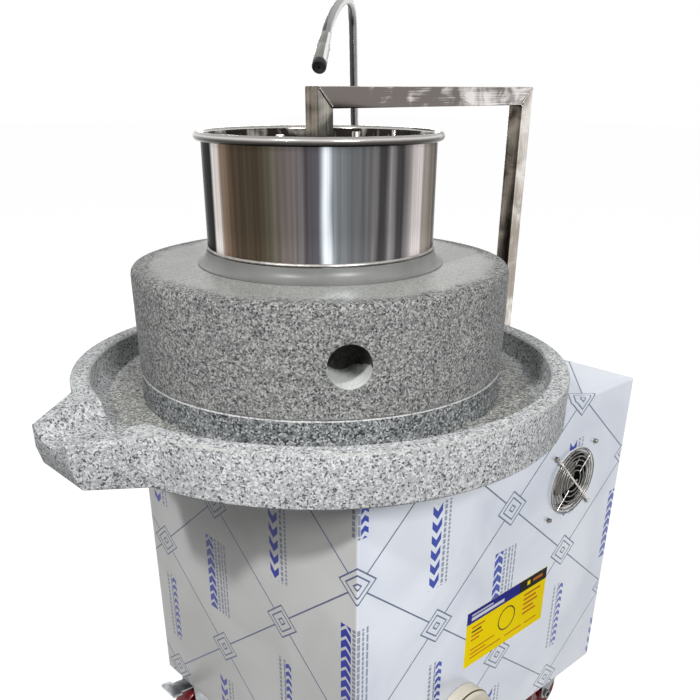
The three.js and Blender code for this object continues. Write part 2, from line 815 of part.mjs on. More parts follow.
function gantryUpright() {
  const [near, far] = [gantryReach - halfTube, gantryReach + halfTube];
  const start = footTop + seatGap;
  return squareTube(
    [[near, start], [far, start], [far, gantryTop - seatGap], [near, gantryTop - tubeSide - seatGap]],
    [
      [near + tubeWall, start - cutOverrun], [far - tubeWall, start - cutOverrun],
      [far - tubeWall, gantryTop + cutOverrun], [near + tubeWall, gantryTop + cutOverrun]
    ]
  );
}
piece('gantry_upright', gantryUpright(), polishedSteel);

function gantryBeam() {
  const [near, far] = [-halfTube, gantryReach + halfTube];
  const low = gantryTop - tubeSide;
  return squareTube(
    [
      [near + seatGap, gantryTop], [near + tubeSide + seatGap, low], [far - tubeSide - seatGap, low],
      [far - seatGap, gantryTop]
    ],
    [
      [near - cutOverrun, low + tubeWall], [far + cutOverrun, low + tubeWall],
      [far + cutOverrun, gantryTop - tubeWall], [near - cutOverrun, gantryTop - tubeWall]
    ]
  );
}
piece('gantry_beam', gantryBeam(), polishedSteel);

function gantryLeg() {
  const wide = halfTube - tubeWall;
  return squareTube(
    [
      [-halfTube, legBottom], [halfTube, legBottom], [halfTube, gantryTop - tubeSide - seatGap],
      [-halfTube, gantryTop - seatGap]
    ],
    [
      [-wide, legBottom - cutOverrun], [wide, legBottom - cutOverrun],
      [wide, gantryTop + cutOverrun], [-wide, gantryTop + cutOverrun]
    ]
  );
}
piece('gantry_leg', gantryLeg(), polishedSteel);

function gantryFoot() {
  const rear = gantryReach + halfTube - tubeWall;
  return bar(-footWidth / 2, footWidth / 2, rear - footLength, rear, cabinetTop + seatGap, footTop);
}
piece('gantry_foot', gantryFoot(), satinSteel);

// Feeding rake under the leg: a bar across the hopper with two tall pegs and two tall pins
function rake() {
  const top = legBottom - seatGap;
  const low = top - rakeBarHeight;
  const reach = rakePinReach + rakePinRadius * 1.5;
  const pegLevel = hopperFoot + rakePegTop;
  const parts = [bar(-rakeBarWidth / 2, rakeBarWidth / 2, -reach, reach, low, top)];
  for (const side of [-1, 1]) {
    parts.push(rod(rakePegRadius, low, pegLevel, pinSides).translate([0, side * rakePegReach, 0]));
    parts.push(rod(rakePinRadius, low, pegLevel, pinSides).translate([0, side * rakePinReach, 0]));
  }
  return join(...parts);
}
piece('feed_rake', rake(), satinSteel);

// Tap on the cabinet top, behind the tray, that carries the flexible neck
const tapGroup = new THREE.Group();
tapGroup.position.set(stemX, stemY, cabinetTop);
machine.add(tapGroup);
const tapTop = seatGap + tapFlangeThickness + tapBodyHeight;
const hubLevel = seatGap + tapFlangeThickness + tapBodyHeight / 2;
const neckStart = tapTop - neckRadius * 2;

function tapBody() {
  const floor = seatGap;
  const neckRoom = neckRadius + seatGap;
  const body = turned([
    [0, floor - tapTailLength], [tapTailRadius, floor - tapTailLength], [tapTailRadius, floor],
    [tapFlangeRadius, floor], [tapFlangeRadius, floor + tapFlangeThickness],
    [tapBodyRadius, floor + tapFlangeThickness], [tapBodyRadius, tapTop - tapBodyRadius / 3],
    [neckRoom + tubeWall, tapTop], [neckRoom, tapTop], [neckRoom, neckStart - seatGap],
    [0, neckStart - seatGap]
  ], barSides);
  const hub = alongY(rod(tapHubRadius, 0, tapBodyRadius + tapHubLength)).translate([0, 0, hubLevel]);
  return body.add(hub.subtract(rod(neckRoom, floor, tapTop)));
}
piece('tap_body', tapBody(), polishedSteel, tapGroup);

function tapLever() {
  const start = tapBodyRadius + tapHubLength + seatGap;
  const boss = alongY(rod(tapHubRadius, start, start + leverThickness)).translate([0, 0, hubLevel]);
  const arm = bar(
    -leverWidth / 2, leverWidth / 2, start, start + leverThickness, hubLevel, hubLevel + leverLength
  );
  return boss.add(arm);
}
piece('tap_lever', tapLever(), redPlastic, tapGroup);

// Route of the neck in the upright plane through the stem and the mill axis
const heading = Math.atan2(-stemY, -stemX);
const reachToAxis = Math.hypot(stemX, stemY);
const tiltTurn = THREE.MathUtils.degToRad(nozzleTilt);
const noseDirection = new THREE.Vector3(Math.sin(tiltTurn), 0, -Math.cos(tiltTurn));
const nozzleTip = new THREE.Vector3(reachToAxis, 0, nozzleTipHeight);
const neckEnd = nozzleTip.clone().addScaledVector(noseDirection, -nozzleLength);

function neckRoute() {
  const route = new THREE.CurvePath();
  const foot = new THREE.Vector3(0, 0, neckStart);
  const stem = new THREE.Vector3(0, 0, stemHeight);
  const bend = new THREE.Vector3(bendReach, 0, bendHeight);
  const leanTurn = THREE.MathUtils.degToRad(bendLean);
  const rising = new THREE.Vector3(Math.sin(leanTurn), 0, Math.cos(leanTurn));
  const straight = neckEnd.clone().addScaledVector(noseDirection, -2 * neckRadius);
  route.add(new THREE.LineCurve3(foot, stem));
  route.add(new THREE.CubicBezierCurve3(
    stem, new THREE.Vector3(0, 0, stemHeight + stemRise),
    bend.clone().addScaledVector(rising, -bendRun), bend
  ));
  route.add(new THREE.CubicBezierCurve3(
    bend, bend.clone().addScaledVector(rising, archRise),
    straight.clone().addScaledVector(noseDirection, -archFall), straight
  ));
  route.add(new THREE.LineCurve3(straight, neckEnd));
  return route;
}

// Points of one ring round the route, in the plane square to it
function ringPoints(route, distance, length, radius) {
  const share = Math.min(Math.max(distance / length, 0), 1);
  const centre = route.getPointAt(share);
  const along = route.getTangentAt(share);
  const across = new THREE.Vector3(0, 1, 0);
  const up = new THREE.Vector3().crossVectors(along, across).normalize();
  const points = [];
  for (let i = 0; i < neckSides; i += 1) {
    const turn = 2 * Math.PI * (i + 0.5) / neckSides;
    points.push(centre.clone()
      .addScaledVector(across, radius * Math.cos(turn))
      .addScaledVector(up, radius * Math.sin(turn)));
  }
  return points;
}

// Ribbed hose: two rings a rib outside, a ring every five ribs in the bore, straight at both ends
function ribbedNeck() {
  const route = neckRoute();
  route.arcLengthDivisions = 400;
  const length = route.getLength();
  const straightEnd = 2 * neckRadius;
  const ribs = Math.round((length - 2 * straightEnd) / neckRibPitch);
  const pitch = (length - 2 * straightEnd) / ribs;
  const outer = [[0, neckRadius], [straightEnd, neckRadius]];
  const inner = [[0, neckBore]];
  for (let rib = 0; rib < ribs; rib += 1) {
    const start = straightEnd + rib * pitch;
    outer.push([start + pitch / 2, neckRadius - neckValleyDepth], [start + pitch, neckRadius]);
    if (rib % 5 === 0) inner.push([start, neckBore]);
  }
  outer.push([length, neckRadius]);
  inner.push([length, neckBore]);
  const stations = [...outer, ...inner.reverse()];
  const rings = stations.map(([at, radius]) => ringPoints(route, at, length, radius));
  rings.push(rings[0]);
  const positions = rings.flat().flatMap((point) => [point.x, point.y, point.z]);
  const faces = [];
  for (let r = 0; r + 1 < rings.length; r += 1) {
    for (let i = 0; i < neckSides; i += 1) {
      const [a, b] = [r * neckSides + i, r * neckSides + (i + 1) % neckSides];
      faces.push(a, b, b + neckSides, a, b + neckSides, a + neckSides);
    }
  }
  const geometry = new THREE.BufferGeometry();
  geometry.setAttribute('position', new THREE.Float32BufferAttribute(positions, 3));
  geometry.setIndex(faces);
  return solid(geometry);
}
const neckGroup = new THREE.Group();
neckGroup.rotation.z = heading;
tapGroup.add(neckGroup);
piece('flex_neck', ribbedNeck(), satinSteel, neckGroup);

// Chrome nozzle and its black outlet ring, turned along the end of the neck
const nozzleGroup = new THREE.Group();
nozzleGroup.position.copy(neckEnd);
nozzleGroup.quaternion.setFromUnitVectors(new THREE.Vector3(0, 0, 1), noseDirection);
neckGroup.add(nozzleGroup);
const nozzleEnd = nozzleLength - nozzleTipLength;
piece('nozzle', turned([
  [neckBore, seatGap], [nozzleTopRadius - nozzleWall / 2, seatGap],
  [nozzleTopRadius, nozzleLength / 3], [nozzleEndRadius, nozzleLength * 0.4], [nozzleEndRadius, nozzleEnd],
  [neckBore, nozzleEnd], [neckBore, seatGap]
], barSides), polishedSteel, nozzleGroup);
piece('nozzle_outlet', turned([
  [neckBore, nozzleEnd + seatGap], [nozzleEndRadius, nozzleEnd + seatGap],
  [nozzleEndRadius, nozzleLength - nozzleWall], [nozzleEndRadius - nozzleWall / 2, nozzleLength],
  [nozzleEndRadius - nozzleWall, nozzleLength], [nozzleEndRadius - nozzleWall, nozzleLength - nozzleWall],
  [neckBore, nozzleLength - nozzleWall], [neckBore, nozzleEnd + seatGap]
], barSides), darkPlastic, nozzleGroup);

// Feed hose inside the cabinet, from the inlet in the rear panel up to the tail of the tap
const inletInside = panelInside - inletNutThickness - seatGap;

function feedHose() {
  const start = new THREE.Vector3(inletX, inletInside - seatGap, inletHeight);
  const end = new THREE.Vector3(stemX, stemY, cabinetTop + seatGap - tapTailLength - seatGap);
  const curve = new THREE.CubicBezierCurve3(
    start, new THREE.Vector3(inletX, stemY, inletHeight),
    new THREE.Vector3(stemX, stemY, inletHeight), end
  );
  const section = new THREE.Shape();
  section.absarc(0, 0, hoseRadius, 0, 2 * Math.PI, false);
  const geometry = new THREE.ExtrudeGeometry(section, {
    steps: hoseSteps, curveSegments: hoseArcs, bevelEnabled: false, extrudePath: curve
  });
  return solid(geometry);
}
piece('feed_hose', feedHose(), clearHose);

function waterInlet() {
  const outside = panelOutside + seatGap;
  const body = turned([
    [0, inletInside], [inletNutRadius, inletInside], [inletNutRadius, panelInside - seatGap],
    [inletRadius, panelInside - seatGap], [inletRadius, outside], [inletNutRadius, outside],
    [inletNutRadius, outside + inletNutThickness], [inletRadius * 0.8, outside + inletNutThickness],
    [inletRadius, outside + inletReach * 0.6], [inletRadius * 0.75, outside + inletReach],
    [inletRadius * 0.5, outside + inletReach], [inletRadius * 0.5, inletInside + inletNutThickness],
    [0, inletInside + inletNutThickness]
  ], barSides);
  return alongY(body).translate([inletX, 0, inletHeight]);
}
piece('water_inlet', waterInlet(), zincSteel);

// Axial fan behind the right side: square frame, spinning rotor and the wire guard outside
const fan = new THREE.Group();
fan.position.set(cabinetSide, fanY, fanZ);
machine.add(fan);
const fanFace = -cabinetSheet - seatGap;
const fanBack = fanFace - fanFrameDepth;
const strutThickness = 3;

function fanFrame() {
  const half = fanFrameSide / 2;
  const block = bar(fanBack, fanFace, -half, half, -half, half);
  const duct = alongX(rod(fanDuctRadius, fanBack - cutOverrun, fanFace + cutOverrun, drumSides));
  const hub = alongX(rod(fanHubRadius, fanBack, fanBack + strutThickness));
  const reach = fanDuctRadius + strutThickness;
  const strutY = bar(fanBack, fanBack + strutThickness, -reach, reach, -strutThickness, strutThickness);
  const strutZ = bar(fanBack, fanBack + strutThickness, -strutThickness, strutThickness, -reach, reach);
  return join(block.subtract(duct), hub, strutY, strutZ);
}
piece('fan_frame', fanFrame(), darkPlastic, fan);

function fanRotor() {
  const back = fanBack + strutThickness + seatGap;
  const front = back + fanHubDepth;
  const middle = (back + front) / 2;
  const parts = [alongX(rod(fanHubRadius, back, front))];
  for (let i = 0; i < fanBladeCount; i += 1) {
    const blade = bar(
      -fanBladeThickness / 2, fanBladeThickness / 2, -fanBladeChord / 2, fanBladeChord / 2,
      fanHubRadius - fanBladeThickness, fanBladeRadius
    );
    const pitched = blade.rotate([0, 0, fanBladePitch]).translate([middle, 0, 0]);
    parts.push(pitched.rotate([360 * i / fanBladeCount, 0, 0]));
  }
  return join(...parts);
}
piece('fan_rotor', fanRotor(), darkPlastic, fan);

// Wire guard: round rings welded on four radial wires that run out to the screw eyes
const guardPlane = guardStandoff + guardWire;
const eyeOffset = fanHolePitch / 2;
const eyeDistance = Math.hypot(eyeOffset, eyeOffset);

function fanGuard() {
  const rings = guardRingShares.map((share) => {
    const ring = new THREE.TorusGeometry(guardRadius * share, guardWire, wireSides, ringSides);
    return alongX(solid(ring).translate([0, 0, guardPlane]));
  });
  const parts = [...rings];
  const inner = guardRadius * guardRingShares.at(-1);
  for (let i = 0; i < 4; i += 1) {
    const spoke = alongX(rod(guardWire, 0, eyeDistance - inner * 0.6, wireSides)).rotate([0, 90, 0]);
    const arm = spoke.translate([guardPlane - guardWire, 0, eyeDistance]);
    const eye = alongX(pipe(guardWire, guardEyeRadius, seatGap, guardPlane, pinSides));
    parts.push(join(arm, eye.translate([0, 0, eyeDistance])).rotate([45 + 90 * i, 0, 0]));
  }
  return join(...parts);
}
piece('fan_guard', fanGuard(), polishedSteel, fan);

// Round reversing switch: moulded housing, grooved face disc and the turning bar handle
const switchGroup = new THREE.Group();
switchGroup.position.set(cabinetSide, switchY, switchZ);
machine.add(switchGroup);
const switchFront = seatGap + switchDepth;
const faceFront = switchFront + seatGap + switchFaceThickness;

function switchHousing() {
  const bore = spindleRadius + seatGap;
  return alongX(turned([
    [bore, seatGap], [switchRadius, seatGap], [switchRadius, switchFront - switchShoulder],
    [switchRadius - switchShoulder * 0.3, switchFront - switchShoulder * 0.3],
    [switchRadius - switchShoulder, switchFront], [bore, switchFront], [bore, seatGap]
  ], drumSides));
}
piece('switch_housing', switchHousing(), creamPlastic, switchGroup);

function switchFace() {
  const bore = spindleRadius + seatGap;
  const back = switchFront + seatGap;
  return alongX(turned([
    [bore, back], [switchFaceRadius, back], [switchFaceRadius, faceFront],
    [switchFaceRadius - switchGroove, faceFront],
    [switchFaceRadius - switchGroove, faceFront - switchGroove],
    [switchFaceRadius - 2 * switchGroove, faceFront - switchGroove],
    [switchFaceRadius - 2 * switchGroove, faceFront], [bore, faceFront], [bore, back]
  ], drumSides));
}
piece('switch_face', switchFace(), creamPlastic, switchGroup);

function switchKnob() {
  const start = faceFront + seatGap;
  const half = knobBarLength / 2;
  const boss = alongX(rod(knobRadius, start, start + knobHeight, drumSides));
  const spindle = alongX(rod(spindleRadius, -spindleLength, start + knobHeight));
  const grip = bar(start, start + knobBarHeight, -knobBarWidth / 2, knobBarWidth / 2, -half, half);
  return join(boss, spindle, grip);
}
piece('switch_knob', switchKnob(), darkPlastic, switchGroup);

// Castors: plate with king pin, swivelling fork, wheel on its axle bolt, and a brake on the front pair
const plateTop = castorHeight - seatGap;
const plateBottom = plateTop - castorPlateThickness;
const raceBottom = plateBottom - raceHeight;
const forkTop = raceBottom - seatGap;
const forkUnder = forkTop - forkTopThickness;
const forkInside = wheelWidth / 2 + forkSideGap;
const forkOutside = forkInside + forkWall;
const brakePivotZ = forkTop - brakeBarrelRadius;

function castorPlate() {
  const half = castorPlateSide / 2;
  return join(
    bar(-half, half, -half, half, plateBottom, plateTop),
    rod(raceRadius, raceBottom, plateTop, hiddenSides),
    rod(kingPinRadius, forkUnder - seatGap - kingPinHead, plateTop, pinSides),
    rod(kingPinRadius * 1.5, forkUnder - seatGap - kingPinHead, forkUnder - seatGap, pinSides)
  );
}

function castorFork(braked) {
  const crown = pipe(kingPinRadius + seatGap, raceRadius, forkUnder, forkTop, hiddenSides);
  const footY = -castorTrail;
  const outline = [[forkShoulder, forkTop], [brakePivotY - brakeBarrelRadius, forkTop]];
  for (let i = 0; i <= footSteps; i += 1) {
    const turn = Math.PI * (1 + i / footSteps);
    outline.push([footY + forkFootRadius * Math.cos(turn), wheelRadius + forkFootRadius * Math.sin(turn)]);
  }
  outline.push([forkShoulder, forkUnder - forkTopThickness]);
  const cheeks = [sideways(outline, -forkOutside, -forkInside), sideways(outline, forkInside, forkOutside)];
  const beyond = forkOutside + cutOverrun;
  const axleHole = alongX(rod(axleRadius + seatGap, -beyond, beyond, pinSides));
  const body = join(crown, ...cheeks).subtract(axleHole.translate([0, footY, wheelRadius]));
  if (!braked) return body;
  const pin = alongX(rod(brakePinRadius, -forkOutside, forkOutside, pinSides));
  return body.add(pin.translate([0, brakePivotY, brakePivotZ]));
}

function castorWheel() {
  const half = wheelWidth / 2;
  const bore = axleRadius + seatGap;
  const inner = wheelRadius - wheelTyre;
  const web = wheelWebWidth / 2;
  const crownEdge = wheelTyre / 4;
  const hub = half + forkSideGap - seatGap;
  const shape = turned([
    [bore, -hub], [wheelHubRadius, -hub], [wheelHubRadius, -web], [inner, -web],
    [wheelRadius - crownEdge, -half], [wheelRadius, -half + crownEdge], [wheelRadius, half - crownEdge],
    [wheelRadius - crownEdge, half], [inner, web], [wheelHubRadius, web],
    [wheelHubRadius, hub], [bore, hub], [bore, -hub]
  ], wheelSides);
  const flatDown = shape.rotate([0, 0, 180 / wheelSides]);
  return alongX(flatDown).translate([0, -castorTrail, wheelRadius]);
}

function castorAxle() {
  const start = -forkOutside - seatGap;
  const end = forkOutside + seatGap;
  return alongX(join(
    rod(axleRadius, start - axleHeadHeight, end + axleHeadHeight, pinSides),
    rod(axleHeadRadius, start - axleHeadHeight, start, nutSides),
    rod(axleHeadRadius, end, end + axleHeadHeight, nutSides)
  )).translate([0, -castorTrail, wheelRadius]);
}

// Brake lever: barrel on its pin, plate over the tread and a wide foot pad
function castorBrake() {
  const barrelHalf = forkInside - seatGap;
  const barrel = alongX(rod(brakeBarrelRadius, -barrelHalf, barrelHalf, pinSides));
  const plate = bar(-brakeWidth / 2, brakeWidth / 2, -brakeReach, 0, -brakePlate / 2, brakePlate / 2);
  const pad = bar(
    -brakePadWidth / 2, brakePadWidth / 2, -brakeReach, -brakeReach + brakePadLength,
    -brakePlate / 2, brakePlate
  );
  const beyond = barrelHalf + cutOverrun;
  const pinHole = alongX(rod(brakePinRadius + seatGap, -beyond, beyond, pinSides));
  const lever = join(plate.subtract(pinHole), pad).rotate([-brakeTilt / 2, 0, 0]);
  return join(barrel, lever).subtract(pinHole).translate([0, brakePivotY, brakePivotZ]);
}

const castorX = cabinetSide - castorInset;
const castors = [
  ['front_left', -castorX, cabinetFront + castorInset, true],
  ['front_right', castorX, cabinetFront + castorInset, true],
  ['rear_left', -castorX, cabinetRear - castorInset, false],
  ['rear_right', castorX, cabinetRear - castorInset, false]
];
for (const [place, x, y, braked] of castors) {
  const castor = new THREE.Group();
  castor.position.set(x, y, 0);
  machine.add(castor);
  piece(`castor_plate_${place}`, castorPlate(), zincSteel, castor);
  piece(`castor_fork_${place}`, castorFork(braked), zincSteel, castor);
  piece(`castor_wheel_${place}`, castorWheel(), redPlastic, castor);
  piece(`castor_axle_${place}`, castorAxle(), zincSteel, castor);
  if (braked) piece(`castor_brake_${place}`, castorBrake(), zincSteel, castor);
}

// Stand the machine on the floor with the middle of its base at the origin
const extent = new THREE.Box3().setFromObject(machine, true);
const middle = extent.getCenter(new THREE.Vector3());
machine.position.set(-middle.x, -middle.y, -extent.min.z);
mill.updateMatrixWorld(true);

export default mill;
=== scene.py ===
"""Looks of a powered granite stone mill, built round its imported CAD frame, in metres."""

from __future__ import annotations

import json
import logging
import math
from collections.abc import Sequence
from dataclasses import dataclass, field
from enum import Enum

import bpy
from mathutils import Euler, Matrix, Vector

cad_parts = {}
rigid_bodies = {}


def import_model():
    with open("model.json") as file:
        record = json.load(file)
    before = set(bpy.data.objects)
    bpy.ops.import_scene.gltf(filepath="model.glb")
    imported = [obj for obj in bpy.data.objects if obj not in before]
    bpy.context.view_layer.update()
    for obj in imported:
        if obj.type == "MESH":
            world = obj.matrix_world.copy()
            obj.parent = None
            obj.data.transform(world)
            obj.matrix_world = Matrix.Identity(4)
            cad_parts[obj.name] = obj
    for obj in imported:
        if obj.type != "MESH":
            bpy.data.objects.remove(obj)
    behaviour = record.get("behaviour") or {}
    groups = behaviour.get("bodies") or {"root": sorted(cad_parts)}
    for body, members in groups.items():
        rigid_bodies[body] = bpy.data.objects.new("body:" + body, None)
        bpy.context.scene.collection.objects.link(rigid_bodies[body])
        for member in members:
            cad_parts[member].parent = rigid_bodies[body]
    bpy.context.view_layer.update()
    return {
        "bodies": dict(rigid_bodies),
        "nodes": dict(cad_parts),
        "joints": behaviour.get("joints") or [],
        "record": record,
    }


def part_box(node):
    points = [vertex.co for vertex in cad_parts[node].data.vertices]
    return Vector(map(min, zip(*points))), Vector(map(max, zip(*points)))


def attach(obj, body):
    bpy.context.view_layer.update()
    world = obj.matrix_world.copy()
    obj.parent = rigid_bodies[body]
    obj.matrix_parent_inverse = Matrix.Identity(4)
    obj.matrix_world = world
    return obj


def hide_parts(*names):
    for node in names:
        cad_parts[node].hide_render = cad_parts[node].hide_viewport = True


LOG = logging.getLogger("stone_mill")
MM = 0.001
MERGE_DISTANCE = 1e-6
SMOOTH_ANGLE = math.radians(32)
FLAT_ANGLE = math.radians(0.5)
NUT_ANGLE = math.radians(10)
FULL_TURN = 2 * math.pi
HOUSING_EDGE = 0.8
HIDDEN_HOUSINGS = (
    "inner_frame", "bearing_housing", "gearbox_housing", "motor_cowl", "capacitor_box",
)
RIGHT = Vector((1, 0, 0))
BACK = Vector((0, 1, 0))
UP = Vector((0, 0, 1))
EVERY_WAY = Vector((1, 1, 1))
MATH = "ShaderNodeMath"
VECTOR = "ShaderNodeVectorMath"
MIX = "ShaderNodeMix"
NOISE = "ShaderNodeTexNoise"
CELLS = "ShaderNodeTexVoronoi"
RAMP = "ShaderNodeValToRGB"
MAP_RANGE = "ShaderNodeMapRange"
SPLIT = "ShaderNodeSeparateXYZ"
BUMP = "ShaderNodeBump"

Socket = bpy.types.NodeSocket
Outline = Sequence[tuple[float, float]]


# Node sheets: one small function adds a node with its settings and links


def linear(code: str) -> tuple[float, float, float, float]:
    """Turns an sRGB hex colour into linear RGBA.

    Args:
        code: The colour as #rrggbb.

    Returns:
        Linear red, green, blue and alpha.
    """
    channels = [int(code[i : i + 2], 16) / 255 for i in (1, 3, 5)]
    red, green, blue = (
        c / 12.92 if c <= 0.04045 else ((c + 0.055) / 1.055) ** 2.4 for c in channels
    )
    return red, green, blue, 1.0


class NodeSheet:
    """A material, or the world, while its nodes are being laid out."""

    def __init__(self, name: str, room: bool = False) -> None:
        """Starts a material with its Principled shader, or a world with its Background shader.

        Args:
            name: Name of the material or world.
            room: Whether it is the world.
        """
        self.owner = bpy.data.worlds.new(name) if room else bpy.data.materials.new(name)
        self.owner.use_nodes = True
        self.tree = self.owner.node_tree
        self.shader = self.tree.nodes["Background" if room else "Principled BSDF"]
        self.place = self.add("ShaderNodeTexCoord", give="Generated" if room else "Object")

    def add(
        self,
        kind: str,
        feed: dict[int | str, object] | Sequence[object] = (),
        give: int | str = 0,
        stops: Sequence[tuple[float, str]] = (),
        **settings: object,
    ) -> Socket:
        """Adds one node.

        Args:
            kind: Blender's name for the node type.
            feed: What feeds its inputs, by name or in order: sockets or plain values.
            give: Name or number of the output to give back.
            stops: Positions and hex colours where the node is a colour ramp.
            settings: Properties of the node.

        Returns:
            One output of the new node.
        """
        node = self.tree.nodes.new(kind)
        for key, value in settings.items():
            setattr(node, key, value)
        for key, value in feed.items() if isinstance(feed, dict) else enumerate(feed):
            if isinstance(value, Socket):
                self.tree.links.new(value, node.inputs[key])
            else:
                node.inputs[key].default_value = value
        for i, (position, code) in enumerate(stops):
            ramp = node.color_ramp.elements
            stop = ramp[i] if i < len(ramp) else ramp.new(position)
            stop.position = position
            stop.color = linear(code)
        return node.outputs[give]

    def dress(self, **inputs: object) -> bpy.types.Material | bpy.types.World:
        """Sets or links inputs of the shader, with _ for a space, and gives the material or world.

        Args:
            inputs: Sockets or plain values for the inputs.

        Returns:
            The finished material or world.
        """
        for key, value in inputs.items():
            target = self.shader.inputs[key.replace("_", " ")]
            if isinstance(value, Socket):
                self.tree.links.new(value, target)
            else:
                target.default_value = value
        return self.owner


# Finishes


@dataclass(frozen=True)
class Granite:
    """Grey granite: irregular crystals of felspar, quartz and black mica. Grain in mm.

    Sawn and pecked faces scatter light from broken crystals; honed ones are smooth with a sheen.
    """

    name: str
    pale: str
    middle: str
    dark: str
    grain: float = 1.6
    roughness: float = 0.82
    relief: float = 0.35
    mica: float = 0.39
    # Painted light: a slope of tone across the stone; nought unless set.
    painted_light_drift: tuple[float, float, float] = (0.0, 0.0, 0.0)

    def crystals(self, sheet: NodeSheet) -> tuple[Socket, Socket]:
        """Colour of the crystals, and their height for the relief.

        Args:
            sheet: The sheet that the nodes go on.

        Returns:
            Colour and height.
        """
        grains = 1 / (self.grain * MM)
        stray = sheet.add(
            NOISE, {"Vector": sheet.place, "Scale": grains * 0.9, "Detail": 2.0}, give="Color"
        )
        shift = sheet.add(VECTOR, {0: stray, "Scale": 1.5 / grains}, operation="SCALE")
        spot = sheet.add(VECTOR, (sheet.place, shift), operation="ADD")
        each = sheet.add(CELLS, {"Vector": spot, "Scale": grains}, give="Color")
        shade = sheet.add("ShaderNodeSeparateColor", (each,))
        fine = sheet.add(NOISE, {"Vector": sheet.place, "Scale": grains * 1.3, "Detail": 3.0})
        lot = sheet.add(MATH, (shade, 0.5), operation="MULTIPLY")
        height = sheet.add(MATH, (fine, 0.7, lot), operation="MULTIPLY_ADD")
        minerals = sheet.add(
            RAMP,
            (height,),
            stops=[
                (self.mica, self.dark), (self.mica + 0.11, self.middle),
                (self.mica + 0.25, self.middle), (self.mica + 0.44, self.pale),
            ],
        )
        clouds = sheet.add(NOISE, {"Vector": sheet.place, "Scale": 11.0, "Detail": 3.0})
        even = sheet.add(MAP_RANGE, (clouds, 0.3, 0.7, 0.9, 1.1))
        # Painted light: tone rises along the drift.
        lean = sheet.add(VECTOR, (sheet.place, self.painted_light_drift), operation="DOT_PRODUCT", give="Value")
        level = sheet.add(MATH, (even, lean), operation="ADD")
        tinted = sheet.add("ShaderNodeHueSaturation", {"Color": minerals, "Value": level})
        return tinted, height

    def build(self) -> bpy.types.Material:
        """One even face of the stone.

        Returns:
            The material.
        """
        sheet = NodeSheet(self.name)
        colour, height = self.crystals(sheet)
        bump = sheet.add(BUMP, {"Height": height, "Strength": self.relief, "Distance": 0.6 * MM})
        return sheet.dress(Base_Color=colour, Roughness=self.roughness, Normal=bump, IOR=1.54)


@dataclass(frozen=True)
class WornGranite:
    """Round stone worked in two ways: smooth within, rough without, and a ragged line between.

    Where the smooth part is polished, a coat makes it mirror what stands on it.
    """

    name: str
    smooth: Granite
    rough: Granite
    centre: Vector
    edge: float
    stray: float
    polish: float = 0.0
    shine: float = 0.5

    def build(self) -> bpy.types.Material:
        """Blends the two faces by the distance from the axis, in mm, broken up by noise.

        Returns:
            The material.
        """
        sheet = NodeSheet(self.name)
        inner, _ = self.smooth.crystals(sheet)
        outer, high = self.rough.crystals(sheet)
        flat = sheet.add(VECTOR, (sheet.place, (1.0, 1.0, 0.0)), operation="MULTIPLY")
        away = sheet.add(VECTOR, (flat, self.centre), operation="DISTANCE", give="Value")
        ragged = sheet.add(
            NOISE, {"Vector": sheet.place, "Scale": 34.0, "Detail": 6.0, "Roughness": 0.65}
        )
        reach = sheet.add(MATH, (ragged, self.stray * 2 * MM, away), operation="MULTIPLY_ADD")
        start, end = (self.edge + self.stray * 0.7) * MM, (self.edge + self.stray * 1.3) * MM
        worn = sheet.add(MAP_RANGE, (reach, start, end))
        colour = sheet.add(MIX, {0: worn, 6: inner, 7: outer}, give=2, data_type="RGBA")
        height = sheet.add(MIX, {0: worn, 2: 0.5, 3: high})
        gloss = sheet.add(MAP_RANGE, (worn, 0.0, 1.0, self.smooth.roughness, self.rough.roughness))
        coat = sheet.add(MAP_RANGE, (worn, 0.0, 1.0, self.polish, 0.0))
        bump = sheet.add(
            BUMP, {"Height": height, "Strength": self.rough.relief, "Distance": 0.6 * MM}
        )
        return sheet.dress(
            Base_Color=colour, Roughness=gloss, Normal=bump, Specular_IOR_Level=self.shine,
            Coat_Weight=coat, Coat_Roughness=0.22,
        )


class Working(Enum):
    """How a metal surface was worked, as the stretch of its marks along x, y and z."""

    DRAWN_UP = (1.0, 1.0, 0.012)
    DRAWN_ALONG = (1.0, 0.012, 1.0)
    CAST = (1.0, 1.0, 1.0)
    PLATED = (0.5, 0.5, 0.5)


@dataclass(frozen=True)
class Metal:
    """Bare or plated metal: drawn tube has fine lines and patches, and the others are cloudy."""

    name: str
    tint: str
    shade: str
    roughness: float
    working: Working = Working.DRAWN_UP
    grain: float = 1.1
    relief: float = 0.05
    patch: float = 40.0
    # Painted light: a slope of tone across the piece; nought unless set.
    painted_light_drift: tuple[float, float, float] = (0.0, 0.0, 0.0)
    spread: tuple[float, float] = (0.4, 0.6)

    def build(self) -> bpy.types.Material:
        """Fine marks of the working and broad patches, both in mm, in colour and in roughness.

        Returns:
            The material.
        """
        sheet = NodeSheet(self.name)
        drawn = sheet.add(VECTOR, (sheet.place, self.working.value), operation="MULTIPLY")
        marks = sheet.add(NOISE, {"Vector": drawn, "Scale": 1 / (self.grain * MM), "Detail": 4.0})
        patches = 1 / (self.patch * MM)
        broad = sheet.add(
            NOISE, {"Vector": sheet.place, "Scale": patches, "Detail": 3.0, "Distortion": 0.5}
        )
        # Painted light: tone rises along the drift.
        lean = sheet.add(VECTOR, (sheet.place, self.painted_light_drift), operation="DOT_PRODUCT", give="Value")
        tone = sheet.add(MATH, (marks, 0.35, lean), operation="MULTIPLY_ADD")
        tone = sheet.add(MATH, (broad, 0.65, tone), operation="MULTIPLY_ADD")
        colour = sheet.add(RAMP, (tone,), stops=list(zip(self.spread, (self.shade, self.tint))))
        rough = sheet.add(MAP_RANGE, (tone, 0.3, 0.7, self.roughness * 1.3, self.roughness * 0.8))
        bump = sheet.add(BUMP, {"Height": marks, "Strength": self.relief, "Distance": 0.2 * MM})
        return sheet.dress(Base_Color=colour, Roughness=rough, Normal=bump, Metallic=1.0)


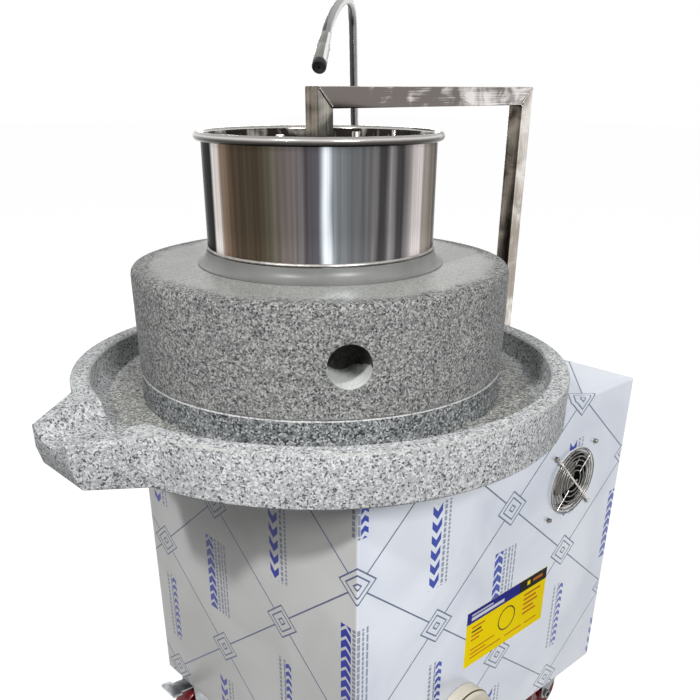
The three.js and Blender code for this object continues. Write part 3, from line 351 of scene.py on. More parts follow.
@dataclass(frozen=True)
class PaintedReflectionBowl:
    """Spun stainless steel, buffed to a mirror, with painted reflections: upright dark and bright
    bands run down its wall.

    Bands are (degrees from the bowl's front, tone), and repeat on its far side.
    """

    name: str
    centre: Vector
    front: float = -40.8
    roughness: float = 0.2
    metallic: float = 0.8
    bands: tuple[tuple[float, str], ...] = (
        (-90, "#2b2826"), (-82, "#151413"), (-61.5, "#151413"), (-58.9, "#ece5e1"),
        (-54.5, "#f3ece8"), (-52, "#8f7d70"), (-48.5, "#7c695a"), (-46.5, "#655546"),
        (-43.6, "#483d31"), (-28, "#463d31"), (-22.9, "#5b574a"), (-17, "#6a615e"),
        (-8.4, "#6e6969"), (-5.8, "#4c474b"), (0.2, "#5a585e"), (1.2, "#8d949a"),
        (2.6, "#e9eff4"), (3.9, "#dfe5ea"), (5.6, "#858c91"), (8, "#707477"),
        (20, "#606163"), (25, "#6d6b6c"), (27.4, "#3c3a3a"), (30.5, "#3f3d3d"),
        (33, "#8d8b8b"), (36.6, "#4a4748"), (40, "#434142"), (43, "#838180"),
        (47.9, "#c9c1c0"), (54, "#dcd4d3"), (57, "#a59c94"), (82, "#978e85"),
    )
    # Painted light: the wall's colour is brightened towards its foot, fading from foot_level up to
    # foot_rise above it.
    foot_painted_light_gain: float = 1.5
    foot_rise: float = 0.045
    foot_level: float = 0.681
    waviness: float = 0.028

    def build(self) -> bpy.types.Material:
        """Wavy painted reflection bands by the angle round the axis and fine upright streaks, with
        painted light towards the foot.

        Returns:
            The material.
        """
        sheet = NodeSheet(self.name)
        spot = sheet.add(VECTOR, (sheet.place, self.centre), operation="SUBTRACT")
        split = sheet.add(SPLIT, (spot,)).node.outputs
        angle = sheet.add(MATH, (split[1], split[0]), operation="ARCTAN2")
        stretched = sheet.add(VECTOR, (sheet.place, (1.0, 1.0, 0.22)), operation="MULTIPLY")
        wave = sheet.add(NOISE, {"Vector": stretched, "Scale": 26.0, "Detail": 2.0})
        start = 0.5 - math.radians(self.front) / math.pi - self.waviness / 2
        share = sheet.add(MATH, (angle, 1 / math.pi, start), operation="MULTIPLY_ADD")
        moved = sheet.add(MATH, (wave, self.waviness, share), operation="MULTIPLY_ADD")
        turn = sheet.add(MATH, (moved,), operation="FRACT")
        # Painted reflections: dark and bright bands in the base colour, fixed round the axis.
        stops = [((degrees + 90) / 180, tone) for degrees, tone in self.bands]
        banded = sheet.add(RAMP, (turn,), stops=stops)
        drawn = sheet.add(VECTOR, (sheet.place, Working.DRAWN_UP.value), operation="MULTIPLY")
        streaks = sheet.add(NOISE, {"Vector": drawn, "Scale": 260.0, "Detail": 4.0})
        level = sheet.add(MAP_RANGE, (streaks, 0.35, 0.65, 0.8, 1.18))
        # Painted light: brighter towards the foot.
        top = self.foot_level + self.foot_rise
        lift = sheet.add(MAP_RANGE, (split[2], self.foot_level, top, self.foot_painted_light_gain, 1.0))
        level = sheet.add(MATH, (level, lift), operation="MULTIPLY")
        colour = sheet.add("ShaderNodeHueSaturation", {"Color": banded, "Value": level})
        bump = sheet.add(BUMP, {"Height": wave, "Strength": 0.08, "Distance": 0.4 * MM})
        return sheet.dress(
            Base_Color=colour, Roughness=self.roughness, Normal=bump, Metallic=self.metallic,
            Specular_Tint=(0.25, 0.25, 0.25, 1.0),
        )


@dataclass(frozen=True)
class PaintedReflectionTube:
    """Polished bent tube with painted reflections: dark and pale lines run along it, as a round
    mirror draws out a room.
    """

    name: str
    roughness: float
    side: tuple[float, float, float]
    tones: tuple[tuple[float, str], ...]

    def build(self) -> bpy.types.Material:
        """Painted reflection tone by how far the skin faces a fixed side of the object.

        Returns:
            The material.
        """
        sheet = NodeSheet(self.name)
        normal = sheet.add("ShaderNodeNewGeometry", give="Normal")
        side = sheet.add(VECTOR, (normal, self.side), operation="DOT_PRODUCT", give="Value")
        share = sheet.add(MATH, (side, 0.5, 0.5), operation="MULTIPLY_ADD")
        cloud = sheet.add(NOISE, {"Vector": sheet.place, "Scale": 45.0, "Detail": 2.0})
        moved = sheet.add(MATH, (cloud, 0.08, share), operation="MULTIPLY_ADD")
        centred = sheet.add(MATH, (moved, 0.04), operation="SUBTRACT")
        colour = sheet.add(RAMP, (centred,), stops=self.tones)
        return sheet.dress(Base_Color=colour, Roughness=self.roughness, Metallic=0.9)


@dataclass(frozen=True)
class Moulded:
    """Moulded plastic, rubber or paint: even colour, faint moulding texture, a little dust."""

    name: str
    tint: str
    shade: str
    roughness: float
    grit: float = 0.5
    relief: float = 0.08
    ior: float = 1.5

    def build(self) -> bpy.types.Material:
        """Slight tone shifts over the piece and a fine grain of the given width, in mm.

        Returns:
            The material.
        """
        sheet = NodeSheet(self.name)
        grains = 1 / (self.grit * MM)
        fine = sheet.add(NOISE, {"Vector": sheet.place, "Scale": grains, "Detail": 3.0})
        broad = sheet.add(NOISE, {"Vector": sheet.place, "Scale": 22.0, "Detail": 3.0})
        grit = sheet.add(MATH, (fine, 0.25), operation="MULTIPLY")
        tone = sheet.add(MATH, (broad, 0.75, grit), operation="MULTIPLY_ADD")
        colour = sheet.add(RAMP, (tone,), stops=[(0.35, self.shade), (0.65, self.tint)])
        rough = sheet.add(MAP_RANGE, (tone, 0.3, 0.7, self.roughness * 1.15, self.roughness * 0.9))
        bump = sheet.add(BUMP, {"Height": fine, "Strength": self.relief, "Distance": 0.2 * MM})
        return sheet.dress(Base_Color=colour, Roughness=rough, Normal=bump, IOR=self.ior)


@dataclass(frozen=True)
class PrintedFilm:
    """Glossy white film on sheet steel, printed in blue with a plain lattice and chevrons.

    Sizes in mm, those of diamonds as shares of a cell. Columns are (kind of cell, offset, half
    width, pitch, slope, share filled). The film shows as a pale sheet with a soft sheen and waves.
    """

    name: str
    film: str = "#e4e9f2"
    crease_shade: str = "#d2d8e4"
    ink: str = "#4a5874"
    deep_ink: str = "#1b3aa6"
    cell_width: float = 244.0
    cell_height: float = 208.0
    line: float = 1.8
    diamonds: tuple[float, ...] = (0.105, 0.068, 0.022)
    motif_height: float = 52.0
    columns: tuple[tuple[float, ...], ...] = (
        (0.0, -16.0, 7.5, 13.0, 0.9, 0.7),
        (0.0, -4.0, 2.2, 5.4, 0.0, 0.72),
        (0.0, 3.0, 1.8, 9.1, 0.0, 0.85),
        (0.0, 9.0, 1.4, 6.1, 0.0, 0.8),
        (0.0, 15.0, 1.4, 11.0, 0.0, 0.85),
        (1.0, -9.0, 7.5, 17.0, -1.1, 0.55),
        (1.0, 4.0, 2.0, 7.0, 0.0, 0.75),
        (1.0, 11.0, 1.6, 5.0, 0.0, 0.7),
        (2.0, -6.0, 2.0, 6.3, 0.0, 0.75),
        (2.0, 2.0, 1.4, 12.0, 0.0, 0.9),
        (2.0, 9.0, 5.0, 11.0, 0.8, 0.55),
    )
    roughness: float = 0.28
    metallic: float = 0.25
    gloss: float = 0.5

    def build(self) -> bpy.types.Material:
        """Film in the piece's own UV map, which is in metres and runs on round the folds.

        Returns:
            The material.
        """
        sheet = NodeSheet(self.name)
        wrap = sheet.add("ShaderNodeUVMap", uv_map="film")
        cells = (1 / (self.cell_width * MM), 1 / (self.cell_height * MM), 0.0)
        scaled = sheet.add(VECTOR, (wrap, cells), operation="MULTIPLY")
        split = sheet.add(SPLIT, (scaled,)).node.outputs
        rising = sheet.add(MATH, (split[0], split[1]), operation="ADD")
        falling = sheet.add(MATH, (split[0], split[1]), operation="SUBTRACT")
        lattice = self.lattice(sheet, rising, falling)
        bold, fine = self.motifs(sheet, rising, falling)
        waves = sheet.add(
            NOISE, {"Vector": sheet.place, "Scale": 6.0, "Detail": 3.0, "Distortion": 0.8}
        )
        # Painted shade: the film is darker in the troughs of the waves that drive the bump.
        colour = sheet.add(RAMP, (waves,), stops=[(0.35, self.crease_shade), (0.6, self.film)])
        for mark, share, ink in (
            (lattice, 0.95, self.ink), (fine, 0.7, self.ink), (bold, 1.0, self.deep_ink),
        ):
            cover = sheet.add(MATH, (mark, share), operation="MULTIPLY")
            colour = sheet.add(MIX, {0: cover, 6: colour, 7: linear(ink)}, give=2, data_type="RGBA")
        bump = sheet.add(BUMP, {"Height": waves, "Strength": 0.2, "Distance": 2.0 * MM})
        return sheet.dress(
            Base_Color=colour,
            Roughness=self.roughness,
            Metallic=self.metallic,
            Specular_IOR_Level=self.gloss,
            Normal=bump,
            Coat_Weight=0.15,
            Coat_Roughness=0.1,
        )

    def lattice(self, sheet: NodeSheet, rising: Socket, falling: Socket) -> Socket:
        """Crossing lines, and nested diamonds with a bead where they meet.

        Args:
            sheet: The sheet that the nodes go on.
            rising: Count of lines passed on the rising diagonal.
            falling: Count of lines passed on the falling diagonal.

        Returns:
            One where there is ink, nought elsewhere.
        """
        thin = self.line / self.cell_width * 0.75
        gaps = []
        for way in (rising, falling):
            whole = sheet.add(MATH, (way,), operation="ROUND")
            gap = sheet.add(MATH, (way, whole), operation="SUBTRACT")
            gaps.append(sheet.add(MATH, (gap,), operation="ABSOLUTE"))
        near = sheet.add(MATH, gaps, operation="MINIMUM")
        far = sheet.add(MATH, gaps, operation="MAXIMUM")
        lines = sheet.add(MATH, (near, thin), operation="LESS_THAN")
        clear = sheet.add(MATH, (far, self.diamonds[0]), operation="GREATER_THAN")
        ink = sheet.add(MATH, (lines, clear), operation="MULTIPLY")
        for size in self.diamonds:
            outline = sheet.add(MATH, (far, size, thin), operation="COMPARE")
            ink = sheet.add(MATH, (ink, outline), operation="MAXIMUM")
        return ink

    def motifs(self, sheet: NodeSheet, rising: Socket, falling: Socket) -> tuple[Socket, Socket]:
        """Chevrons in bold ink and columns of dashes in fine ink, by the cell they stand in.

        Args:
            sheet: The sheet that the nodes go on.
            rising: Count of lines passed on the rising diagonal.
            falling: Count of lines passed on the falling diagonal.

        Returns:
            Masks of the bold ink and of the fine ink.
        """
        halves, floors = [], []
        for way in (rising, falling):
            part = sheet.add(MATH, (way,), operation="FRACT")
            halves.append(sheet.add(MATH, (part, 0.5), operation="SUBTRACT"))
            floors.append(sheet.add(MATH, (way,), operation="FLOOR"))
        both = sheet.add(MATH, halves, operation="ADD")
        across = sheet.add(MATH, (both, self.cell_width / 2), operation="MULTIPLY")
        lean = sheet.add(MATH, halves, operation="SUBTRACT")
        up = sheet.add(MATH, (lean, self.cell_height / 2), operation="MULTIPLY")
        number = sheet.add(MATH, (floors[1], 2.0, floors[0]), operation="MULTIPLY_ADD")
        kind = sheet.add(MATH, (number, 3.0), operation="FLOORED_MODULO")
        height = sheet.add(MATH, (up,), operation="ABSOLUTE")
        tall = sheet.add(MATH, (height, self.motif_height), operation="LESS_THAN")
        inks: dict[bool, Socket] = {}
        for cell, offset, half, pitch, slope, fill in self.columns:
            aside = sheet.add(MATH, (across, offset), operation="SUBTRACT")
            side = sheet.add(MATH, (aside,), operation="ABSOLUTE")
            column = sheet.add(MATH, (side, half), operation="LESS_THAN")
            slant = sheet.add(MATH, (side, slope, up), operation="MULTIPLY_ADD")
            step = sheet.add(MATH, (slant, pitch), operation="DIVIDE")
            part = sheet.add(MATH, (step,), operation="FRACT")
            tooth = sheet.add(MATH, (part, fill), operation="LESS_THAN")
            here = sheet.add(MATH, (kind, cell, 0.5), operation="COMPARE")
            for mask in (tooth, tall, here):
                column = sheet.add(MATH, (column, mask), operation="MULTIPLY")
            bold = slope != 0
            if bold in inks:
                column = sheet.add(MATH, (inks[bold], column), operation="MAXIMUM")
            inks[bold] = column
        return inks[True], inks[False]


FINISHES = {
    "granite": Granite("sawn_granite", "#b4b4b1", "#7a7b7a", "#2f3134"),
    "dark_granite": Granite("coarse_granite", "#bbbdbc", "#6f7375", "#1e2022", 1.9, mica=0.41),
    "polished_steel": Metal(
        "polished_stainless_steel", "#cdcac6", "#7e7a76", 0.14, Working.CAST, 9.0, 0.0, 16.0
    ),
    # Painted reflections along the hose, by the way its skin faces.
    "neck_steel": PaintedReflectionTube("hose_steel_painted_reflections", 0.16, (0.68, 0.73, 0.0), (
        (0.0, "#8f8f8e"), (0.06, "#4f4f4f"), (0.2, "#474747"), (0.42, "#4a4a4a"), (0.5, "#8a8787"),
        (0.86, "#918e8d"), (0.95, "#dededd"),
    )),
    "satin_steel": Metal("drawn_stainless_steel", "#c9c5c0", "#918b85", 0.26, Working.DRAWN_UP),
    "zinc_steel": Metal("zinc_plated_steel", "#b9bbbd", "#8b8d90", 0.35, Working.PLATED, 3.0),
    "cast_iron": Metal("grey_cast_iron", "#5b5e60", "#3d4042", 0.6, Working.CAST, 2.0, 0.3),
    "painted_steel": Moulded("machine_paint", "#4f5a66", "#434d57", 0.5, 1.2, 0.12),
    "seal_rubber": Moulded("silicone_sealant", "#7c7d7b", "#6c6d6b", 0.35, 1.0, 0.1, 1.41),
    "cream_plastic": Moulded("urea_moulding", "#cfcabb", "#bdb7a8", 0.38),
    "dark_plastic": Moulded("black_abs", "#18181a", "#0f1011", 0.42, ior=1.4),
    "red_plastic": Moulded("red_polyurethane", "#7c0a1a", "#550a14", 0.2),
    "clear_hose": Moulded("milky_hose", "#d8dcdc", "#c4c9c9", 0.3),
    "filmed_steel": PrintedFilm("printed_film_on_steel"),
}


# Bench: modelling steps that are done as by hand


def put_down() -> None:
    """Leaves edit mode and deselects everything."""
    if bpy.context.object and bpy.context.object.mode != "OBJECT":
        bpy.ops.object.mode_set(mode="OBJECT")
    bpy.ops.object.select_all(action="DESELECT")


def take_up(obj: bpy.types.Object) -> None:
    """Makes one object the selected and active one.

    Args:
        obj: The object.
    """
    put_down()
    obj.select_set(True)
    bpy.context.view_layer.objects.active = obj


def open_up(obj: bpy.types.Object, mode: str, select: str = "SELECT") -> None:
    """Enters edit mode on one object, with everything in it selected unless told otherwise.

    Args:
        obj: The object.
        mode: What is selected in it: VERT, EDGE or FACE.
    """
    take_up(obj)
    bpy.ops.object.mode_set(mode="EDIT")
    bpy.ops.mesh.select_mode(type=mode)
    bpy.ops.mesh.select_all(action=select)


def settle(obj: bpy.types.Object, place: Matrix | None = None) -> bpy.types.Object:
    """Moves an object to its place and applies that to its mesh.

    Args:
        obj: The object.
        place: Where it goes, or nothing where it stands there already.

    Returns:
        The object, unmoved and unturned, with its place in its mesh.
    """
    take_up(obj)
    if place is not None:
        obj.matrix_world = place
    bpy.ops.object.transform_apply(location=True, rotation=True, scale=True)
    return obj


def clean(obj: bpy.types.Object, recalculate: bool = True) -> bpy.types.Object:
    """Merges doubles, drops slivers and turns the faces outwards.

    Args:
        obj: The object.
        recalculate: Whether its faces are turned outwards.

    Returns:
        The object.
    """
    open_up(obj, "VERT")
    bpy.ops.mesh.remove_doubles(threshold=MERGE_DISTANCE)
    bpy.ops.mesh.dissolve_degenerate(threshold=MERGE_DISTANCE)
    if recalculate:
        bpy.ops.mesh.normals_make_consistent(inside=False)
    put_down()
    return obj


def smooth(obj: bpy.types.Object, angle: float = SMOOTH_ANGLE) -> bpy.types.Object:
    """Shades the piece smooth, apart from edges sharper than an angle.

    Args:
        obj: The object.
        angle: Least angle of an edge that stays sharp, in radians.

    Returns:
        The object.
    """
    take_up(obj)
    bpy.ops.object.shade_smooth_by_angle(angle=angle)
    return obj


def wire(name: str, points: Sequence[Vector]) -> bpy.types.Object:
    """Draws a chain of edges by extruding one point, and stays in edit mode with all selected.

    Args:
        name: Name of the new object.
        points: Corners of the chain, in metres.

    Returns:
        The new object.
    """
    put_down()
    bpy.ops.mesh.primitive_plane_add(size=MM)
    obj = bpy.context.object
    obj.name = name
    obj.data.name = name
    bpy.ops.object.mode_set(mode="EDIT")
    bpy.ops.mesh.select_mode(type="VERT")
    bpy.ops.mesh.select_all(action="SELECT")
    bpy.ops.mesh.merge(type="CENTER")
    bpy.ops.transform.translate(value=points[0])
    for here, there in zip(points, points[1:]):
        bpy.ops.mesh.extrude_region_move(TRANSFORM_OT_translate={"value": there - here})
    bpy.ops.mesh.select_all(action="SELECT")
    bpy.ops.mesh.remove_doubles(threshold=MERGE_DISTANCE)
    return obj


def turned(name: str, outline: Outline, place: Matrix, steps: int = 64) -> bpy.types.Object:
    """Spins an outline of (radius, height) points, in mm, round the Z axis of its place.

    The outline is closed back to its start, unless it starts and ends on the axis.

    Args:
        name: Name of the new object.
        outline: Points of the half section.
        place: Where its foot and axis are.
        steps: Facets round the axis.

    Returns:
        The new object.
    """
    points = [Vector((radius * MM, 0, height * MM)) for radius, height in outline]
    on_axis = outline[0][0] == 0 and outline[-1][0] == 0
    obj = wire(name, points if on_axis else [*points, points[0]])
    bpy.ops.mesh.spin(steps=steps, angle=FULL_TURN, center=(0, 0, 0), axis=(0, 0, 1))
    return smooth(settle(clean(obj), place))


def slab(name: str, outline: Outline, thickness: float, place: Matrix) -> bpy.types.Object:
    """Fills a closed outline of (x, y) points, in mm, and extrudes it along its place's Z axis.

    Args:
        name: Name of the new object.
        outline: Corners of the face.
        thickness: How far it is extruded, in mm.
        place: Where its lower face lies.

    Returns:
        The new object.
    """
    points = [Vector((x * MM, y * MM, 0)) for x, y in outline]
    obj = wire(name, [*points, points[0]])
    bpy.ops.mesh.edge_face_add()
    bpy.ops.mesh.extrude_region_move(TRANSFORM_OT_translate={"value": (0, 0, thickness * MM)})
    return settle(clean(obj), place)


def block(name: str, low: Vector, high: Vector) -> bpy.types.Object:
    """A block between two corners, to be shaped further.

    Args:
        name: Name of the new object.
        low: Its lowest corner, in metres.
        high: Its highest corner, in metres.

    Returns:
        The new object.
    """
    put_down()
    bpy.ops.mesh.primitive_cube_add(size=1, location=(low + high) / 2, scale=high - low)
    obj = bpy.context.object
    obj.name = name
    obj.data.name = name
    return settle(obj)


def apply_modifier(obj: bpy.types.Object, kind: str, **settings: object) -> bpy.types.Object:
    """Adds one modifier with its settings and applies it.

    Args:
        obj: The object.
        kind: Blender's name for the modifier type.
        settings: Properties of the modifier.

    Returns:
        The object.
    """
    take_up(obj)
    modifier = obj.modifiers.new(kind.lower(), kind)
    for key, value in settings.items():
        setattr(modifier, key, value)
    bpy.ops.object.modifier_apply(modifier=modifier.name)
    return obj


def round_edges(
    obj: bpy.types.Object, width: float, segments: int = 2, angle: float = SMOOTH_ANGLE
) -> bpy.types.Object:
    """Rounds every edge sharper than an angle by a width in mm, and shades the piece.

    Args:
        obj: The object.
        width: Width of the rounding, in mm.
        segments: Facets across it.
        angle: Least angle of an edge that is rounded, in radians.

    Returns:
        The object.
    """
    apply_modifier(
        obj,
        "BEVEL",
        width=width * MM,
        segments=segments,
        limit_method="ANGLE",
        angle_limit=angle,
        use_clamp_overlap=True,
    )
    return smooth(obj)


def carve(obj: bpy.types.Object, *tools: bpy.types.Object) -> bpy.types.Object:
    """Cuts tools out of a piece and removes them."""
    return combine(obj, "DIFFERENCE", tools)


def fuse(obj: bpy.types.Object, *others: bpy.types.Object) -> bpy.types.Object:
    """Joins other shapes into a piece as one closed skin."""
    return combine(obj, "UNION", others)


def combine(
    obj: bpy.types.Object, operation: str, tools: Sequence[bpy.types.Object]
) -> bpy.types.Object:
    """Runs one exact boolean step for each tool.

    Args:
        obj: The piece.
        operation: DIFFERENCE or UNION.
        tools: The other shapes, which are used up.

    Returns:
        The piece.
    """
    for tool in tools:
        apply_modifier(obj, "BOOLEAN", operation=operation, object=tool, solver="EXACT")
        bpy.data.objects.remove(tool)
    return clean(obj, recalculate=False)


def gather(obj: bpy.types.Object, *others: bpy.types.Object) -> bpy.types.Object:
    """Joins separate shells of one piece into one object.

    Args:
        obj: The shell that keeps its name.
        others: The shells that join it.

    Returns:
        The object of all the shells.
    """
    take_up(obj)
    for other in others:
        other.select_set(True)
    bpy.ops.object.join()
    return obj


def copy_node(name: str, node: str) -> bpy.types.Object:
    """A merged copy of a CAD node, with flat faces made whole again, to be finished further.

    Args:
        name: Name of the copy.
        node: Name of the CAD node.

    Returns:
        The copy.
    """
    source = bpy.data.objects[node]
    obj = bpy.data.objects.new(name, source.data.copy())
    obj.data.name = name
    bpy.context.scene.collection.objects.link(obj)
    open_up(obj, "VERT")
    bpy.ops.mesh.remove_doubles(threshold=MERGE_DISTANCE)
    bpy.ops.mesh.dissolve_limited(angle_limit=FLAT_ANGLE)
    put_down()
    return obj


def coat(obj: bpy.types.Object, *materials: bpy.types.Material) -> None:
    """Gives a piece these materials, in the order of its faces' indices.

    Args:
        obj: The piece.
        materials: Its materials, in place of those that it has.
    """
    obj.data.materials.clear()
    for material in materials:
        obj.data.materials.append(material)


def facing(direction: Vector, at: Vector) -> Matrix:
    """A place whose Z axis points along a direction."""
    return Matrix.Translation(at) @ direction.to_track_quat("Z", "Y").to_matrix().to_4x4()


def upright(at: Vector) -> Matrix:
    """A place that is only moved."""
    return Matrix.Translation(at)


class Workshop:
    """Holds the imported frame, the materials by slot, and the way that a piece joins the object."""

    def __init__(self, frame: dict[str, object]) -> None:
        """Builds every finish and dresses the CAD nodes with them.

        Args:
            frame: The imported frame, with its nodes, joints and record.
        """
        self.joints = {joint["name"]: Vector(joint["pos_m"]) for joint in frame["joints"]}
        self.finishes = {slot: finish.build() for slot, finish in FINISHES.items()}
        record = frame["record"]
        self.slots = {part["node"]: part["material_slot"] for part in record["subparts"]}
        self.bodies = {
            node: body for body, nodes in record["behaviour"]["bodies"].items() for node in nodes
        }
        for name, node in frame["nodes"].items():
            coat(node, self.finishes[self.slots[name]])

    def fit(
        self, obj: bpy.types.Object, like: str, replaces: Sequence[str] = (), slot: str = ""
    ) -> bpy.types.Object:
        """Dresses a finished piece and lets it ride with a CAD node's body.

        Args:
            obj: The piece.
            like: The CAD node that it belongs with.
            replaces: CAD nodes that it stands for.
            slot: Its material slot, where it isn't that node's.

        Returns:
            The piece.
        """
        name = slot or self.slots[like]
        if not obj.data.materials:
            coat(obj, self.finishes[name])
        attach(obj, self.bodies[like])
        if replaces:
            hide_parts(*replaces)
        LOG.info("%s rides on %s", obj.name, self.bodies[like])
        return obj

    def stand_in(self, obj: bpy.types.Object, node: str) -> bpy.types.Object:
        """Fits a piece in place of one CAD node."""
        return self.fit(obj, node, (node,))

    def softened(self, node: str, width: float, segments: int = 2) -> bpy.types.Object:
        """Stands a copy of a CAD node with edges rounded by a width in mm in its place."""
        return self.stand_in(round_edges(copy_node(f"{node}_piece", node), width, segments), node)


# Sub-assemblies


@dataclass
class Stones:
    """Tray, lower stone and upper stone. Sizes in mm, the lift angle in degrees."""

    shop: Workshop
    radius: float = 200.0
    tray_radius: float = 274.0
    channel_radius: float = 254.0
    channel_depth: float = 29.0
    recess_depth: float = 6.0
    eye_radius: float = 45.0
    shaft_hole: float = 27.0
    arris: float = 1.2
    shoulder: float = 7.0
    lift_radius: float = 21.0
    lift_depth: float = 60.0
    lift_angle: float = -33.6
    lift_drop: float = 3.0
    lift_shade: float = 0.27
    bore_rings: int = 12
    bore_sides: int = 96
    pocket_gap: float = 0.3
    pocket_half: float = 13.0
    pocket_depth: float = 10.0
    bed_gap: float = 0.5
    steps: int = 192
    axis: Vector = field(init=False)
    bore_level: float = field(init=False)
    chipped: bpy.types.Material = field(init=False)

    def build(self) -> None:
        """Builds the three stones."""
        axis = self.shop.joints["mill_spin"]
        self.axis = Vector((axis.x, axis.y, 0))
        self.upper()
        self.lower()
        self.tray()

    def upper(self) -> None:
        """Running stone with a worn shoulder, its eye, the drive pocket and two lifting holes."""
        low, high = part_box("upper_stone")
        foot, top = low.z / MM, high.z / MM
        outline = [
            (self.eye_radius, foot),
            (self.radius - self.arris, foot),
            (self.radius, foot + self.arris),
            (self.radius, top - self.shoulder),
            (self.radius - self.arris * 0.6, top - self.shoulder * 0.5),
            (self.radius - self.arris * 2.2, top - self.shoulder * 0.16),
            (self.radius - self.shoulder, top),
            (self.eye_radius + self.arris, top),
            (self.eye_radius, top - self.arris),
        ]
        stone = turned("upper_stone_body", outline, upright(self.axis), self.steps)
        level = (low.z + high.z) / 2 - self.lift_drop * MM
        self.bore_level = level / MM
        for turn in (0.0, math.pi):
            angle = math.radians(self.lift_angle) + turn
            way = Vector((math.cos(angle), math.sin(angle), 0))
            start = self.axis + Vector((0, 0, level)) + way * (self.radius - self.lift_depth) * MM
            rings = [
                (self.lift_radius, self.lift_depth * step / self.bore_rings)
                for step in range(self.bore_rings + 1)
            ]
            past = self.lift_depth * 2
            wall = [(0, 0), *rings, (self.lift_radius, past), (0, past)]
            carve(stone, turned("drill", wall, facing(way, start), self.bore_sides))
        self.pocket(stone)
        self.face_marks(stone, top)
        self.shop.stand_in(smooth(stone, math.radians(40)), "upper_stone")

    def pocket(self, stone: bpy.types.Object) -> None:
        """Cuts the room for the drive cross into the underside.

        Args:
            stone: The running stone.
        """
        low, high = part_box("drive_cross")
        gap = EVERY_WAY * self.pocket_gap * MM
        middle = (low + high) / 2
        half = self.pocket_half * MM
        deep = Vector((0, 0, self.pocket_depth * MM))
        rise = Vector((0, 0, (high.z - low.z) / 2))
        for way in (RIGHT, BACK):
            reach = way * (high.x - middle.x) + (RIGHT + BACK - way) * half
            slot = block("slot", middle - reach - rise - gap - deep, middle + reach + rise + gap)
            carve(stone, slot)

    def face_marks(self, stone: bpy.types.Object, top: float) -> None:
        """Gives the honed top, the side, the chipped arris and the lifting holes their finishes, with
        painted light on the top and painted light and shade in the holes.

        Args:
            stone: The running stone.
            top: Level of its top, in mm.
        """
        sawn = FINISHES["granite"]
        # Painted light: the honed top is lighter towards +x, where the key lamp stands.
        honed = Granite(
            "honed_granite", "#9e9f9b", "#8e8f8b", "#767879", 1.6, 0.4, 0.0, painted_light_drift=(1.8, -0.1, 0.0)
        )
        chipped = Granite("chipped_granite", "#d2d2d0", "#b9bab8", "#85878b", 1.6, 0.9, 0.5)
        # Painted light on the lit floor of each lifting hole, painted shade on the rest of it.
        bore = Granite("lit_bore_painted_light", "#f1f3f0", "#e4e7e3", "#c9ccc8", 1.2, 0.5, 0.1)
        shade = Granite("bore_in_shade", "#4d4c48", "#3a3936", "#262523", 2.5, 0.8, 0.2)
        top_stone = WornGranite(
            "honed_top", honed, sawn, self.axis, edge=183, stray=22, polish=0.25, shine=0.2
        )
        finishes = [finish.build() for finish in (top_stone, chipped, bore, shade)]
        coat(stone, self.shop.finishes["granite"], *finishes)
        on_top, on_arris, in_light, in_shade = range(1, 5)
        self.chipped = stone.data.materials[on_arris]
        reach = self.lift_radius + 1
        for face in stone.data.polygons:
            out = (face.center - self.axis).xy.length / MM
            height = face.center.z / MM
            below = self.bore_level - height
            if face.normal.z > 0.5 and height > top - self.shoulder:
                face.material_index = on_top
            elif face.normal.z < -0.3 and out > self.radius - self.arris * 1.5:
                face.material_index = on_arris
            # Painted light on upward faces below a sloping line in each hole, painted shade elsewhere
            # in it.
            elif self.eye_radius + reach < out < self.radius - 1 and abs(below) < reach:
                lit = below > self.lift_shade * (self.radius - out) and face.normal.z > 0.1
                face.material_index = in_light if lit else in_shade

    def lower(self) -> None:
        """Bed stone with a chipped arris under the seam."""
        low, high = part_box("lower_stone")
        foot, top = low.z / MM, high.z / MM
        outline = [
            (self.shaft_hole, foot),
            (self.radius, foot),
            (self.radius, top - self.arris),
            (self.radius - self.arris, top),
            (self.shaft_hole, top),
        ]
        stone = turned("lower_stone_body", outline, upright(self.axis), self.steps)
        coat(stone, self.shop.finishes["dark_granite"], self.chipped)
        for face in stone.data.polygons:
            face.material_index = int(0.3 < face.normal.z < 0.95)
        self.shop.stand_in(stone, "lower_stone")

    def tray(self) -> None:
        """Tray with its channel, the recess for the bed stone, and the dished spout."""
        low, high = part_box("tray")
        foot, top = low.z / MM, high.z / MM
        floor = top - self.channel_depth
        edge = self.arris * 1.6
        outline = [
            (self.shaft_hole, foot),
            (self.tray_radius - edge, foot),
            (self.tray_radius, foot + edge),
            (self.tray_radius, top - edge),
            (self.tray_radius - edge * 0.3, top - edge * 0.3),
            (self.tray_radius - edge, top),
            (self.channel_radius + edge, top),
            (self.channel_radius, top - edge),
            (self.channel_radius, floor + 4 * edge),
            (self.channel_radius - edge, floor + edge),
            (self.channel_radius - 4 * edge, floor),
            (self.radius + self.bed_gap, floor),
            (self.radius + self.bed_gap, floor - self.recess_depth),
            (self.shaft_hole, floor - self.recess_depth),
        ]
        dish = turned("tray_body", outline, upright(self.axis), self.steps)
        fuse(dish, self.spout(foot, top))
        self.trough(dish, top)
        channel = Granite(
            "worn_channel_granite", "#c6c7c4", "#82837d", "#393a38", 1.9, 0.7, 0.2, 0.37
        )
        pecked = Granite("pecked_granite", "#dadbdb", "#abadaf", "#434547", 1.9, 0.88, 0.45, 0.37)
        floor_stone = WornGranite("worn_channel", channel, pecked, self.axis, edge=236, stray=20)
        coat(dish, pecked.build(), self.chipped, floor_stone.build())
        on_arris, on_floor = 1, 2
        for face in dish.data.polygons:
            out = (face.center - self.axis).xy.length / MM
            height = face.center.z / MM
            slope = face.normal.z
            if height > top - edge * 1.2 and 0.2 < slope < 0.98:
                face.material_index = on_arris
            elif out > self.radius and slope > 0.3 and height < top - 1:
                face.material_index = on_floor
        self.shop.stand_in(smooth(dish), "tray")

